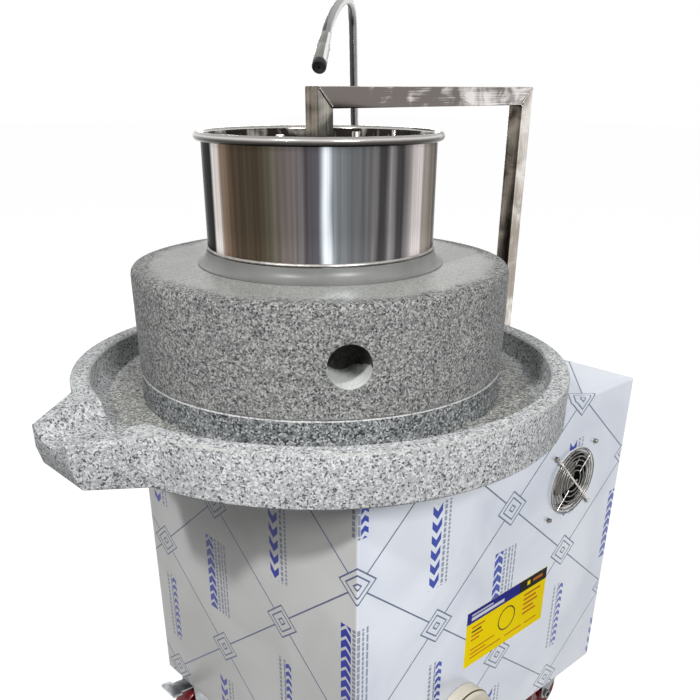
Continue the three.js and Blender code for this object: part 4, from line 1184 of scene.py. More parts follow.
    def spout(self, foot: float, top: float) -> bpy.types.Object:
        """Tapered lip of the tray: the plan outline raised, then drawn in at its underside.

        Args:
            foot: Level of the tray's underside, in mm.
            top: Level of the tray's rim, in mm.

        Returns:
            The lip, cut to fit round the dish.
        """
        start, root, reach = 228.0, 263.0, 325.0
        broad, narrow = 81.0, 35.0
        cheek, drop = 22.0, 5.5
        lift, sink, past = 4.5, 0.3, 9.0
        in_x, in_y = 6 * MM, 7 * MM
        plan = [
            (-broad, -start), (-broad, -root), (-narrow, -reach),
            (narrow, -reach), (broad, -root), (broad, -start),
        ]
        floor = upright(self.axis + Vector((0, 0, (foot + lift) * MM)))
        lip = slab("lip", plan, top - sink - foot - lift, floor)
        inner = (self.channel_radius + self.tray_radius) / 2
        well = [(0, foot - past), (inner, foot - past), (inner, top + past), (0, top + past)]
        open_up(lip, "EDGE")
        bpy.ops.mesh.bisect(
            plane_co=self.axis + Vector((0, 0, (top - drop - cheek) * MM)), plane_no=(0, 0, 1)
        )
        put_down()
        for corner in lip.data.vertices:
            spot = (corner.co - self.axis) / MM
            at_tip = spot.y < -(root + reach) / 2
            if at_tip and spot.z > top - 1:
                corner.co.z -= (drop - sink) * MM
            if at_tip and spot.z < foot + lift + 0.5:
                corner.co.x += math.copysign(in_x, spot.x)
                corner.co.y += in_y
        round_edges(lip, 1.6, 3)
        return carve(lip, turned("well", well, upright(self.axis), self.steps))

    def trough(self, dish: bpy.types.Object, top: float) -> None:
        """Hollows the trough of the spout with one tapered round tool that opens into the channel.

        Args:
            dish: The tray.
            top: Level of the tray's rim, in mm.
        """
        sections = (
            (236.0, 45.0, self.channel_depth, 0.0),
            (274.0, 45.0, 20.5, 0.0),
            (328.0, 27.0, 12.0, 5.5),
        )
        put_down()
        bpy.ops.mesh.primitive_cylinder_add(vertices=64, radius=1, depth=2)
        tool = bpy.context.object
        tool.name = "runoff"
        settle(tool, Matrix.Rotation(math.pi / 2, 4, "X"))
        open_up(tool, "EDGE")
        bpy.ops.mesh.bisect(plane_co=(0, 0, 0), plane_no=(0, 1, 0))
        put_down()
        for corner in tool.data.vertices:
            away, half, deep, fall = sections[1 - round(corner.co.y)]
            height = deep if corner.co.z < 0 else deep * 0.8
            spot = Vector((corner.co.x * half, -away, top - fall + corner.co.z * height))
            corner.co = self.axis + spot * MM
        carve(dish, clean(tool))


@dataclass
class Hopper:
    """Polished bowl on the running stone and the ring of sealant round its foot.

    Sizes in mm, angles of the rolled rim in radians.
    """

    shop: Workshop
    radius: float = 119.0
    wall: float = 1.2
    foot_width: float = 12.0
    rim_radius: float = 122.0
    rim_tube: float = 4.2
    seal_width: float = 11.0
    seal_height: float = 14.0
    seal_steps: int = 6
    bead_foot: float = 14.0
    bead_height: float = 4.0
    steps: int = 160
    rim_steps: int = 12
    rim_start: float = math.radians(-130)
    rim_sweep: float = math.radians(290)

    def build(self) -> None:
        """Builds bowl and sealant."""
        axis = self.shop.joints["mill_spin"]
        low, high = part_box("hopper")
        place = upright(Vector((axis.x, axis.y, low.z)))
        self.bowl(place, (high.z - low.z) / MM)
        self.sealant(place)

    def bowl(self, place: Matrix, height: float) -> None:
        """Bowl with a bead near its foot and a rolled rim.

        Args:
            place: Where its foot and axis are.
            height: Its height, in mm.
        """
        level = height - self.rim_tube
        inner = self.radius - self.wall
        outline = [
            (inner - self.foot_width, 0),
            (self.radius - 2, 0),
            (self.radius - 0.5, 0.6),
            (self.radius, 2),
            (self.radius, 14.3),
            (self.radius + 0.9, 15),
            (self.radius + 1.2, 15.9),
            (self.radius + 0.9, 16.8),
            (self.radius, 17.6),
            (self.radius, level - 2),
        ]
        for step in range(self.rim_steps + 1):
            turn = self.rim_start + self.rim_sweep * step / self.rim_steps
            across, up = self.rim_tube * math.cos(turn), self.rim_tube * math.sin(turn)
            outline.append((self.rim_radius + across, level + up))
        outline += [
            (inner, level), (inner, 2.5), (inner - 1.2, self.wall),
            (inner - self.foot_width, self.wall),
        ]
        bowl = turned("hopper_bowl", outline, place, self.steps)
        foot = place.translation
        centre = Vector((foot.x, foot.y, 0))
        # Painted reflections on the outer wall; on the rim, painted light above and painted shade
        # below; inside, painted shade with a few pale painted glints.
        finishes = (
            PaintedReflectionBowl("bowl_painted_reflections", centre),
            PaintedReflectionTube("rolled_rim_painted_reflections", 0.14, (0.0, 0.0, 1.0), (
                (0.0, "#2b2a28"), (0.4, "#45423f"), (0.5, "#77736f"), (0.6, "#a9a6a2"),
                (0.7, "#dddbd8"), (0.8, "#b0ada9"), (1.0, "#8a8783"),
            )),
            Metal("foot_bead_steel", "#b4b1ad", "#888581", 0.4, Working.CAST, 4.0, 0.0, 30.0),
            Metal(
                "bowl_inside_painted_shade", "#b0aca6", "#2f2c28", 0.2, Working.DRAWN_UP, 9.0, 0.0, 30.0,
                spread=(0.5, 0.62),
            ),
        )
        coat(bowl, *[finish.build() for finish in finishes])
        on_rim, on_bead, inside = 1, 2, 3
        for face in bowl.data.polygons:
            out = (face.center - centre).xy.length / MM
            above = (face.center.z - foot.z) / MM
            if above > level - self.rim_tube and out > self.radius - 1:
                face.material_index = on_rim
            elif out < self.radius - 1:
                face.material_index = inside
            elif self.bead_foot < above < self.bead_foot + self.bead_height:
                face.material_index = on_bead
        self.shop.stand_in(bowl, "hopper")

    def sealant(self, place: Matrix) -> None:
        """Hollow fillet of sealant round the foot.

        Args:
            place: Where the bowl's foot and axis are.
        """
        start = self.radius + 0.3
        fillet = [(start, 0), (start + self.seal_width, 0)]
        for step in range(self.seal_steps + 1):
            turn = math.pi / 2 * step / self.seal_steps
            fillet.append((
                start + self.seal_width - (self.seal_width - 1.2) * math.sin(turn),
                1.0 + (self.seal_height - 1.0) * (1 - math.cos(turn)),
            ))
        fillet.append((start, self.seal_height))
        self.shop.stand_in(turned("hopper_sealant", fillet, place, self.steps), "hopper_seal")


@dataclass
class Gantry:
    """Square tube frame over the hopper, its foot plate, welds and the feeding rake, in mm."""

    shop: Workshop
    corner: float = 1.8
    weld: float = 1.6
    ripple: float = 2.0
    bolt_inset: float = 11.0
    # Painted light and shade: a light copy of the steel for the upright's side and all tops, a dark
    # copy for front and under faces, and painted reflections as patches on beam and leg, the beam
    # turning light towards its rear.
    faces: tuple[Metal, ...] = (
        Metal(
            "drawn_steel_painted_light", "#ece7e1", "#a49b90", 0.22, Working.DRAWN_UP, 1.1, 0.04, 30.0
        ),
        Metal("drawn_steel_painted_shade", "#8d857a", "#3d3731", 0.24, Working.DRAWN_UP, 3.0, 0.04, 30.0),
        Metal(
            "drawn_steel_beam_painted_reflections", "#eae4e2", "#78716d", 0.2, Working.DRAWN_ALONG, 1.1, 0.04, 24.0,
            painted_light_drift=(0.0, 0.55, 0.0), spread=(0.58, 0.72),
        ),
        Metal("drawn_steel_leg_painted_reflections", "#a8a49c", "#4f4d47", 0.2, Working.DRAWN_UP, 3.0, 0.04, 24.0),
    )

    def build(self) -> None:
        """Rounds the tubes, the plate and the rake, then adds bolts and weld beads."""
        in_shade, on_top = 1, 2
        lit, shaded, *sides = [finish.build() for finish in self.faces]
        broadsides = dict(zip(("gantry_beam", "gantry_leg"), sides))
        for node in ("gantry_upright", "gantry_beam", "gantry_leg"):
            tube = self.shop.softened(node, self.corner, 3)
            coat(tube, broadsides.get(node, lit), shaded, lit)
            # Front and under faces take the painted shade copy, tops the painted light copy.
            for face in tube.data.polygons:
                if face.normal.y < -0.6 or face.normal.z < -0.6:
                    face.material_index = in_shade
                elif face.normal.z > 0.6:
                    face.material_index = on_top
        self.shop.softened("gantry_foot", 0.8)
        self.shop.softened("feed_rake", 0.6)
        self.bolts()
        self.beads()

    def bolts(self) -> None:
        """Hexagon bolts with washers through the foot plate."""
        low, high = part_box("gantry_foot")
        heads = []
        for side in (-1, 1):
            across = side * (high.x - self.bolt_inset * MM)
            place = upright(Vector((across, (low.y + high.y) / 2, high.z)))
            washer = turned("washer", [(0, 0), (7, 0), (7, 1.2), (0, 1.2)], place, 32)
            outline = [(0, 1.2), (5.6, 1.2), (5.9, 1.6), (5.9, 5), (5.2, 5.6), (0, 5.6)]
            heads += [smooth(turned("gantry_bolts", outline, place, 6), NUT_ANGLE), washer]
        self.shop.fit(gather(*heads), "gantry_foot", slot="zinc_steel")

    def beads(self) -> None:
        """Ground weld seams over the two mitres and round the foot of the upright."""
        low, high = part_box("gantry_beam")
        shells = []
        size = high.z - low.z
        for end, way in ((low.y, 1), (high.y, -1)):
            for side in (-1, 1):
                foot = Vector((side * high.x, end + way * size, low.z))
                top = Vector((side * high.x, end, high.z))
                shells.append(self.bead(foot.lerp(top, 0.07), foot.lerp(top, 0.93)))
        low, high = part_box("gantry_upright")
        plan = ((low.x, low.y), (high.x, low.y), (high.x, high.y), (low.x, high.y))
        corners = [Vector((x, y, low.z)) for x, y in plan]
        for here, there in zip(corners, corners[1:] + corners[:1]):
            shells.append(self.bead(here, there))
        self.shop.fit(gather(*shells), "gantry_foot", slot="satin_steel")

    def bead(self, start: Vector, end: Vector) -> bpy.types.Object:
        """One rippled bead along a seam.

        Args:
            start: One end of the seam, in metres.
            end: Its other end, in metres.

        Returns:
            The bead.
        """
        length = (end - start).length / MM
        steps = 2 * max(4, round(length / self.ripple))
        outline = [(0, 0)]
        for step in range(steps + 1):
            swell = self.weld if step % 2 else self.weld * 0.75
            outline.append((swell, length * step / steps))
        outline.append((0, length))
        return turned("gantry_welds", outline, facing(end - start, start), 10)


@dataclass
class WaterNeck:
    """Tap, ribbed flexible neck and nozzle, in the upright plane from tap to mill axis.

    Sizes in mm, lean and tilt in degrees.
    """

    shop: Workshop
    radius: float = 5.2
    groove: float = 0.15
    rib_pitch: float = 2.8
    start: float = 26.9
    stem: float = 60.0
    stem_rise: float = 100.0
    bend_reach: float = 45.5
    bend_height: float = 390.0
    bend_lean: float = 9.5
    bend_run: float = 90.0
    arch_rise: float = 59.0
    arch_fall: float = 25.0
    tilt: float = 56.0
    tip_height: float = 344.0
    nozzle_length: float = 52.0
    rib_sides: int = 20
    sides: int = 40
    # Painted reflections: grey where the skin faces away from the right-back side, a painted white
    # highlight band where it faces it.
    chrome: PaintedReflectionTube = PaintedReflectionTube("nozzle_chrome_painted_reflections", 0.14, (0.68, 0.73, 0.0), (
        (0.0, "#5f5f5d"), (0.3, "#8a8986"), (0.6, "#7f807a"), (0.72, "#83837f"), (0.78, "#eeeeec"),
        (0.92, "#e8e8e6"), (0.98, "#a9a9a7"),
    ))
    foot: Vector = field(init=False)
    inward: Vector = field(init=False)
    nose: Vector = field(init=False)
    end: Vector = field(init=False)

    def build(self) -> None:
        """Builds the neck on its route, then the nozzle, outlet, tap and lever."""
        stem = self.shop.joints["neck_swivel"]
        axis = self.shop.joints["mill_spin"]
        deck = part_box("cabinet_shell")[1].z
        self.foot = Vector((stem.x, stem.y, deck))
        inward = Vector((axis.x - stem.x, axis.y - stem.y, 0))
        self.inward = inward.normalized()
        turn = math.radians(self.tilt)
        self.nose = self.inward * math.sin(turn) - Vector((0, 0, math.cos(turn)))
        tip = self.spot(inward.length / MM, self.tip_height)
        self.end = tip - self.nose * self.nozzle_length * MM
        self.hose()
        self.nozzle()
        self.tap()

    def spot(self, inward: float, height: float) -> Vector:
        """A point of the neck's plane, from mm inward of the stem and above the deck."""
        return self.foot + self.inward * inward * MM + Vector((0, 0, height * MM))

    def route(self) -> bpy.types.Object:
        """The centre line as a Bezier curve.

        Returns:
            The curve.
        """
        put_down()
        bpy.ops.curve.primitive_bezier_curve_add()
        path = bpy.context.object
        path.name = "neck_route"
        path.data.dimensions = "3D"
        path.data.twist_mode = "Z_UP"
        path.data.resolution_u = 48
        spline = path.data.splines[0]
        spline.bezier_points.add(3)
        stem = self.spot(0, self.stem)
        bend = self.spot(self.bend_reach, self.bend_height)
        lean = math.radians(self.bend_lean)
        rising = (self.inward * math.sin(lean) + Vector((0, 0, math.cos(lean)))) * MM
        straight = self.end - self.nose * 2 * self.radius * MM
        knots = [
            (self.spot(0, self.start), None, None),
            (stem, None, stem + Vector((0, 0, self.stem_rise * MM))),
            (bend, bend - rising * self.bend_run, bend + rising * self.arch_rise),
            (straight, straight - self.nose * self.arch_fall * MM, None),
            (self.end, None, None),
        ]
        for point, (place, before, after) in zip(spline.bezier_points, knots):
            point.handle_left_type = "FREE" if before else "VECTOR"
            point.handle_right_type = "FREE" if after else "VECTOR"
            point.co = place
            point.handle_left = before or place
            point.handle_right = after or place
        return path

    def hose(self) -> None:
        """Ribbed hose: one rib, repeated along the route and closed at both ends."""
        path = self.route()
        length = path.data.splines[0].calc_length() / MM
        ribs = round(length / self.rib_pitch)
        pitch = length / ribs
        outline = [
            (self.radius - self.groove, 0),
            (self.radius - self.groove * 0.2, pitch * 0.2),
            (self.radius, pitch * 0.5),
            (self.radius - self.groove * 0.2, pitch * 0.8),
            (self.radius - self.groove, pitch),
        ]
        points = [Vector((radius * MM, 0, height * MM)) for radius, height in outline]
        hose = wire("flex_neck_hose", points)
        bpy.ops.mesh.spin(steps=self.rib_sides, angle=FULL_TURN, center=(0, 0, 0), axis=(0, 0, 1))
        clean(hose)
        settle(hose, Matrix.Rotation(math.pi / 2, 4, "Y"))
        apply_modifier(
            hose, "ARRAY", fit_type="FIXED_COUNT", count=ribs, use_relative_offset=False,
            use_constant_offset=True, constant_offset_displace=(pitch * MM, 0, 0),
            use_merge_vertices=True, merge_threshold=0.01 * MM,
        )
        apply_modifier(hose, "CURVE", object=path, deform_axis="POS_X")
        settle(hose, path.matrix_world.copy())
        bpy.data.objects.remove(path)
        open_up(hose, "EDGE", "DESELECT")
        bpy.ops.mesh.select_non_manifold()
        bpy.ops.mesh.edge_face_add()
        put_down()
        self.shop.stand_in(smooth(clean(hose), math.radians(60)), "flex_neck")

    def nozzle(self) -> None:
        """Chrome nozzle with its collar and the black outlet."""
        place = facing(self.nose, self.end)
        body = [
            (3, 0.3), (5.6, 0.3), (5.8, 0.8), (6.1, 9), (6.3, 19), (6.0, 19.6), (6.0, 20.4),
            (6.9, 21.2), (7.2, 21.8), (7.2, 44), (6.9, 45), (3, 45),
        ]
        sleeve = turned("nozzle_sleeve", body, place, self.sides)
        coat(sleeve, self.chrome.build())
        self.shop.stand_in(sleeve, "nozzle")
        outlet = [
            (1.2, 45.3), (6.9, 45.3), (7.2, 45.8), (7.2, 50.6), (6.8, 51.6), (6.2, 52), (1.2, 52),
        ]
        self.shop.stand_in(turned("nozzle_aerator", outlet, place, self.sides), "nozzle_outlet")

    def tap(self) -> None:
        """Tap body, flange and lever."""
        flange = [
            (0, -35.7), (5.6, -35.7), (6, -35.2), (6, 0.3), (12, 0.3), (12.5, 0.8), (12.5, 2.4),
            (11.6, 3.3), (9.5, 4.2), (9.5, 33.6), (8.6, 36.2), (7.4, 37.3), (5.5, 37.3),
            (5.5, 26.6), (0, 26.6),
        ]
        body = turned("tap_valve", flange, upright(self.foot), self.sides)
        hub_level = Vector((self.foot.x, self.foot.y, self.shop.joints["tap_turn"].z))
        outline = [(0, 6.2), (6, 6.2), (6, 20), (5.2, 21.5), (0, 21.5)]
        fuse(body, turned("hub", outline, facing(BACK, hub_level), 32))
        self.shop.stand_in(smooth(body), "tap_body")
        self.shop.softened("tap_lever", 0.9, 3)


@dataclass
class Cabinet:
    """Sheet cabinet in printed film, its rear panel, label and screws. Sizes in mm.

    Marks of the label are (left, foot, length, height, number of the ink).
    """

    shop: Workshop
    sheet: float = 1.5
    fold: float = 3.0
    flange: float = 18.0
    screw_inset: float = 9.0
    panel_finish: Metal = Metal(
        "brushed_sheet_steel", "#c6c4c0", "#aba8a4", 0.3, Working.DRAWN_UP, 1.1, 0.03, 120.0,
        spread=(0.3, 0.7),
    )
    label_width: float = 157.0
    label_height: float = 80.0
    label_thickness: float = 0.25
    label_inset: float = 145.5
    label_level: float = 220.5
    band_height: float = 17.0
    band_share: float = 0.64
    band_proud: float = 0.05
    mark_proud: float = 0.08
    ring_level: float = 38.0
    ring_radii: tuple[float, float] = (17.0, 15.2)
    ring_steps: int = 16
    label_inks: tuple[tuple[str, str], ...] = (
        ("yellow", "#ffe100"), ("blue", "#252b86"), ("black", "#121112"), ("pale", "#dcdde6"),
        ("grey", "#c9cad8"), ("orange", "#c8741e"),
    )
    label_marks: tuple[tuple[float, float, float, float, int], ...] = (
        (8, 66.5, 62, 4.5, 3), (8, 73, 40, 2.4, 4), (116, 69, 6, 6, 0), (128, 70, 20, 4, 5),
        (10, 54, 24, 2.4, 5), (10, 48, 18, 2.4, 2), (10, 42, 22, 2.4, 5), (10, 36, 15, 2.4, 5),
        (112, 54, 34, 3, 5), (112, 47, 26, 3, 5), (112, 40, 30, 3, 5), (112, 33, 22, 3, 5),
        (112, 26, 28, 3, 5), (10, 22, 46, 1.8, 5), (10, 16, 30, 1.8, 5), (10, 10, 60, 1.8, 5),
        (78, 10, 34, 1.8, 5), (118, 10, 26, 1.8, 5),
    )

    def build(self) -> None:
        """Builds the shell, then what is on it."""
        self.shell()
        coat(self.shop.softened("rear_panel", 0.4), self.panel_finish.build())
        self.shop.softened("cable_gland", 0.5)
        self.shop.softened("water_inlet", 0.4)
        self.label()
        self.screws()

    def shell(self) -> None:
        """Folded box, open below and behind, with holes for shaft, tap, fan and switch."""
        low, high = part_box("cabinet_shell")
        shell = block("cabinet_skin", low, high)
        apply_modifier(
            shell, "BEVEL", width=self.fold * MM, segments=4, limit_method="ANGLE", affect="EDGES"
        )
        wall = EVERY_WAY * self.sheet * MM
        past, inside = 5 * MM, 6 * MM
        flange = self.flange * MM
        room_low = low + wall
        room_low.z = low.z - past
        room = block("room", room_low, high - wall)
        door = block(
            "door",
            Vector((low.x + flange, high.y - inside, low.z + flange)),
            Vector((high.x - flange, high.y + past, high.z - flange)),
        )
        joints = self.shop.joints
        shaft = joints["mill_spin"]
        stem = joints["neck_swivel"]
        fan = joints["fan_spin"]
        switch = joints["switch_turn"]
        drills = [
            turned("drill", [(0, -8), (radius, -8), (radius, 8), (0, 8)], facing(way, at), 48)
            for radius, way, at in (
                (25, UP, Vector((shaft.x, shaft.y, high.z))),
                (6.5, UP, Vector((stem.x, stem.y, high.z))),
                (43, RIGHT, Vector((high.x, fan.y, fan.z))),
                (7, RIGHT, Vector((high.x, switch.y, switch.z))),
            )
        ]
        carve(shell, room, door, *drills)
        # Painted shade: the front panel takes a greyer copy of the film, with darker inks.
        front = PrintedFilm(
            "printed_film_painted_shade", "#d6d6d5", "#c8c8c6", "#3c4978", "#16269a",
            roughness=0.4, metallic=0.0, gloss=0.25,
        )
        coat(shell, self.shop.finishes["filmed_steel"], front.build())
        for face in shell.data.polygons:
            face.material_index = int(face.normal.y < -0.7)
        self.unwrap(shell, low, high)
        self.shop.stand_in(smooth(shell), "cabinet_shell")

    def unwrap(self, shell: bpy.types.Object, low: Vector, high: Vector) -> None:
        """Lays the film out in metres, running on from side to side round the folds.

        Args:
            shell: The cabinet skin.
            low: Its lowest corner, in metres.
            high: Its highest corner, in metres.
        """
        for layer in list(shell.data.uv_layers):
            shell.data.uv_layers.remove(layer)
        film = shell.data.uv_layers.new(name="film")
        width = high.x - low.x
        for face in shell.data.polygons:
            normal = face.normal
            for loop in face.loop_indices:
                spot = shell.data.vertices[shell.data.loops[loop].vertex_index].co
                if abs(normal.z) > 0.7:
                    film.data[loop].uv = (spot.y - low.y, high.z + high.x - spot.x)
                elif normal.x > 0.7:
                    film.data[loop].uv = (spot.y - low.y, spot.z)
                elif normal.x < -0.7:
                    film.data[loop].uv = (low.y - spot.y - width, spot.z)
                else:
                    film.data[loop].uv = (spot.x - high.x, spot.z)

    def label(self) -> None:
        """Yellow plate under the fan, with two dark head bands, a plain ring and plain bars."""
        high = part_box("cabinet_shell")[1]
        y = high.y - self.label_inset * MM
        foot = self.label_level * MM
        low_corner = Vector((high.x, y - self.label_width * MM, foot))
        high_corner = Vector((high.x + self.label_thickness * MM, y, foot + self.label_height * MM))
        plate = block("drive_label", low_corner, high_corner)
        inks = [
            Moulded(f"label_{name}", code, code, 0.6, 0.8, 0.0, 1.2).build()
            for name, code in self.label_inks
        ]
        coat(plate, *inks)
        shells = [plate]
        width, height = self.label_width, self.band_height
        split, level = width * self.band_share, self.label_height - height
        blue, black = 1, 2
        bands = ((0, level, split, height, blue), (split, level, width - split, height, black))
        for left, bottom, long, tall, ink in (*bands, *self.label_marks):
            proud = self.band_proud if tall == height else self.mark_proud
            root, front = 0.1, self.label_thickness + proud
            strip = block(
                "mark",
                low_corner + Vector((root, left, bottom)) * MM,
                low_corner + Vector((front, left + long, bottom + tall)) * MM,
            )
            coat(strip, inks[ink])
            shells.append(strip)
        middle = (low_corner + high_corner) / 2
        middle.x, middle.z = high_corner.x, low_corner.z + self.ring_level * MM
        shells += [self.arc(middle, turn, inks[black]) for turn in (0.0, math.pi)]
        self.shop.fit(gather(*shells), "cabinet_shell", slot="dark_plastic")

    def arc(self, middle: Vector, turn: float, ink: bpy.types.Material) -> bpy.types.Object:
        """Half of the printed ring.

        Args:
            middle: Middle of the ring, in metres.
            turn: Where the middle of the half stands, in radians.
            ink: Finish of the print.

        Returns:
            The half ring.
        """
        steps = range(self.ring_steps + 1)
        points = []
        for radius, way in zip(self.ring_radii, (steps, reversed(steps))):
            for step in way:
                angle = turn + math.pi * (step / self.ring_steps - 0.5)
                points.append((radius * math.cos(angle), radius * math.sin(angle)))
        arc = slab("arc", points, self.mark_proud, facing(RIGHT, middle))
        coat(arc, ink)
        return arc

    def screws(self) -> None:
        """Pan head screws round the rear panel."""
        low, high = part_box("rear_panel")
        heads = []
        inset = self.screw_inset * MM
        for x in (low.x + inset, high.x - inset):
            for share in (0.03, 0.5, 0.97):
                spot = Vector((x, high.y, low.z + (high.z - low.z) * share))
                heads.append(pan_head("panel_screws", facing(BACK, spot)))
        self.shop.fit(gather(*heads), "rear_panel", slot="zinc_steel")


def pan_head(name: str, place: Matrix, radius: float = 3.6) -> bpy.types.Object:
    """A domed screw head with a cross recess, seated on a face.

    Args:
        name: Name of the screw.
        place: Where it is seated, with Z outwards.
        radius: Radius of the head, in mm.

    Returns:
        The screw head.
    """
    outline = [
        (0, 0), (radius, 0), (radius, 0.7), (radius * 0.86, 1.5), (radius * 0.55, 2.1), (0, 2.3),
    ]
    head = turned(name, outline, Matrix.Identity(4), 24)
    bottom, top = Vector((0, 0, 1.2 * MM)), Vector((0, 0, 3 * MM))
    for way in (RIGHT, BACK):
        half = (way * 0.55 + (RIGHT + BACK - way) * 0.13) * radius * MM
        carve(head, block("recess", bottom - half, top + half))
    return smooth(settle(head, place))


@dataclass
class Fan:
    """Axial fan behind the right side and its wire guard, in mm. Pitch and twist in degrees."""

    shop: Workshop
    guard_radius: float = 42.5
    ring_shares: tuple[float, ...] = (1.0, 0.88, 0.76, 0.64, 0.48, 0.33)
    wire_radius: float = 0.85
    spoke_radius: float = 1.3
    standoff: float = 3.6
    hole_pitch: float = 82.5
    hub_radius: float = 24.0
    blade_radius: float = 40.0
    blades: int = 7
    pitch: float = 46.0
    twist: float = 18.0
    chord: float = 16.0
    flare: float = 6.0
    sweep: float = 0.25
    screw: tuple[tuple[float, float], ...] = (
        (0, 0), (2.8, 0), (2.8, 3.4), (2.3, 4.2), (1.2, 4.8), (0, 5),
    )
    centre: Vector = field(init=False)
    face: float = field(init=False)

    def build(self) -> None:
        """Builds the guard with its screws, the rotor and the duct."""
        self.centre = self.shop.joints["fan_spin"]
        self.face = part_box("cabinet_shell")[1].x
        self.guard()
        self.rotor()
        self.duct()

    def guard(self) -> None:
        """Concentric rings on two long and two short spokes, and a screw in each corner."""
        plane = Vector((self.face + self.standoff * MM, self.centre.y, self.centre.z))
        shells = []
        for share in self.ring_shares:
            put_down()
            bpy.ops.mesh.primitive_torus_add(
                major_radius=self.guard_radius * share * MM, minor_radius=self.wire_radius * MM,
                major_segments=72, minor_segments=8,
            )
            shells.append(settle(bpy.context.object, facing(RIGHT, plane)))
        shells[0].name = "fan_guard_wires"
        eye = self.hole_pitch / 2 * math.sqrt(2)
        dark, bright = (
            Metal(name, tint, shade, roughness, Working.CAST, 6.0, 0.0, 12.0).build()
            for name, tint, shade, roughness in (
                ("guard_wire_steel", "#96938e", "#605d59", 0.3),
                ("spoke_wire_steel", "#dedad4", "#8d8882", 0.25),
            )
        )
        for ring in shells:
            coat(ring, dark)
        for quarter in range(4):
            angle = math.radians(45 + 90 * quarter)
            way = Vector((0, math.cos(angle), math.sin(angle)))
            long = quarter % 2 == 1
            start = 0.0 if long else self.guard_radius * self.ring_shares[-1]
            length = (eye if long else self.guard_radius) - start
            thick = self.spoke_radius if long else self.wire_radius
            seat = plane + way * start * MM + Vector((self.wire_radius * MM, 0, 0))
            outline = [(0, 0), (thick, 0), (thick, length), (0, length)]
            spoke = turned("spoke", outline, facing(way, seat), 10)
            coat(spoke, bright if long else dark)
            foot = Vector((self.face + 0.3 * MM, plane.y, plane.z)) + way * eye * MM
            screw = turned("eye", self.screw, facing(RIGHT, foot), 20)
            coat(screw, dark)
            shells += [spoke, screw]
        self.shop.stand_in(smooth(gather(*shells), math.radians(50)), "fan_guard")

    def duct(self) -> None:
        """Frame with rounded edges and the black mouth ring of its duct in the hole."""
        frame = round_edges(copy_node("fan_frame_piece", "fan_frame"), 0.8)
        inner, outer, depth = self.blade_radius - 3, self.guard_radius + 0.3, 4.0
        outline = [
            (inner, 0), (outer, 0), (outer, depth - 0.6), (outer - 0.6, depth),
            (inner + 1.5, depth), (inner, depth - 2),
        ]
        seat = Vector((self.face - 3.4 * MM, self.centre.y, self.centre.z))
        ring = turned("mouth", outline, facing(RIGHT, seat), 72)
        self.shop.stand_in(smooth(gather(frame, ring)), "fan_frame")

    def rotor(self) -> None:
        """Hub with a rounded edge and twisted blades."""
        low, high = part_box("fan_rotor")
        depth = (high.x - low.x) / MM
        place = facing(RIGHT, Vector((low.x, self.centre.y, self.centre.z)))
        edge = self.hub_radius
        outline = [
            (0, 0), (edge, 0), (edge, depth - 2), (edge - 0.8, depth - 0.6), (edge - 2, depth),
            (0, depth),
        ]
        hub = turned("fan_impeller", outline, place, 48)
        foil = Moulded("hub_foil", "#85837f", "#6f6d69", 0.3, 1.5, 0.0)
        coat(hub, self.shop.finishes["dark_plastic"], foil.build())
        for face in hub.data.polygons:
            face.material_index = int(face.normal.x > 0.9)
        turns = [FULL_TURN * number / self.blades for number in range(self.blades)]
        shells = [hub, *[self.blade(place, depth, turn) for turn in turns]]
        self.shop.stand_in(smooth(gather(*shells)), "fan_rotor")

    def blade(self, place: Matrix, depth: float, turn: float) -> bpy.types.Object:
        """A thin plate, pitched more at the hub than at its tip.

        Args:
            place: The rotor's foot and axis.
            depth: The rotor's depth, in mm.
            turn: Where the blade stands round the axis, in radians.

        Returns:
            The blade.
        """
        put_down()
        bpy.ops.mesh.primitive_grid_add(x_subdivisions=8, y_subdivisions=6, size=1)
        sheet = bpy.context.object
        root, tip = self.hub_radius - 1, self.blade_radius
        for corner in sheet.data.vertices:
            along, across = corner.co.x + 0.5, corner.co.y
            radius = root + (tip - root) * along
            pitch = math.radians(self.pitch - self.twist * along)
            chord = (self.chord + self.flare * along) * across
            angle = chord * math.cos(pitch) / radius + self.sweep * along
            height = depth / 2 + chord * math.sin(pitch) * 0.8
            corner.co = Vector((radius * math.cos(angle), radius * math.sin(angle), height)) * MM
        apply_modifier(sheet, "SOLIDIFY", thickness=1.4 * MM, offset=0)
        return settle(clean(sheet), place @ Matrix.Rotation(turn, 4, "Z"))


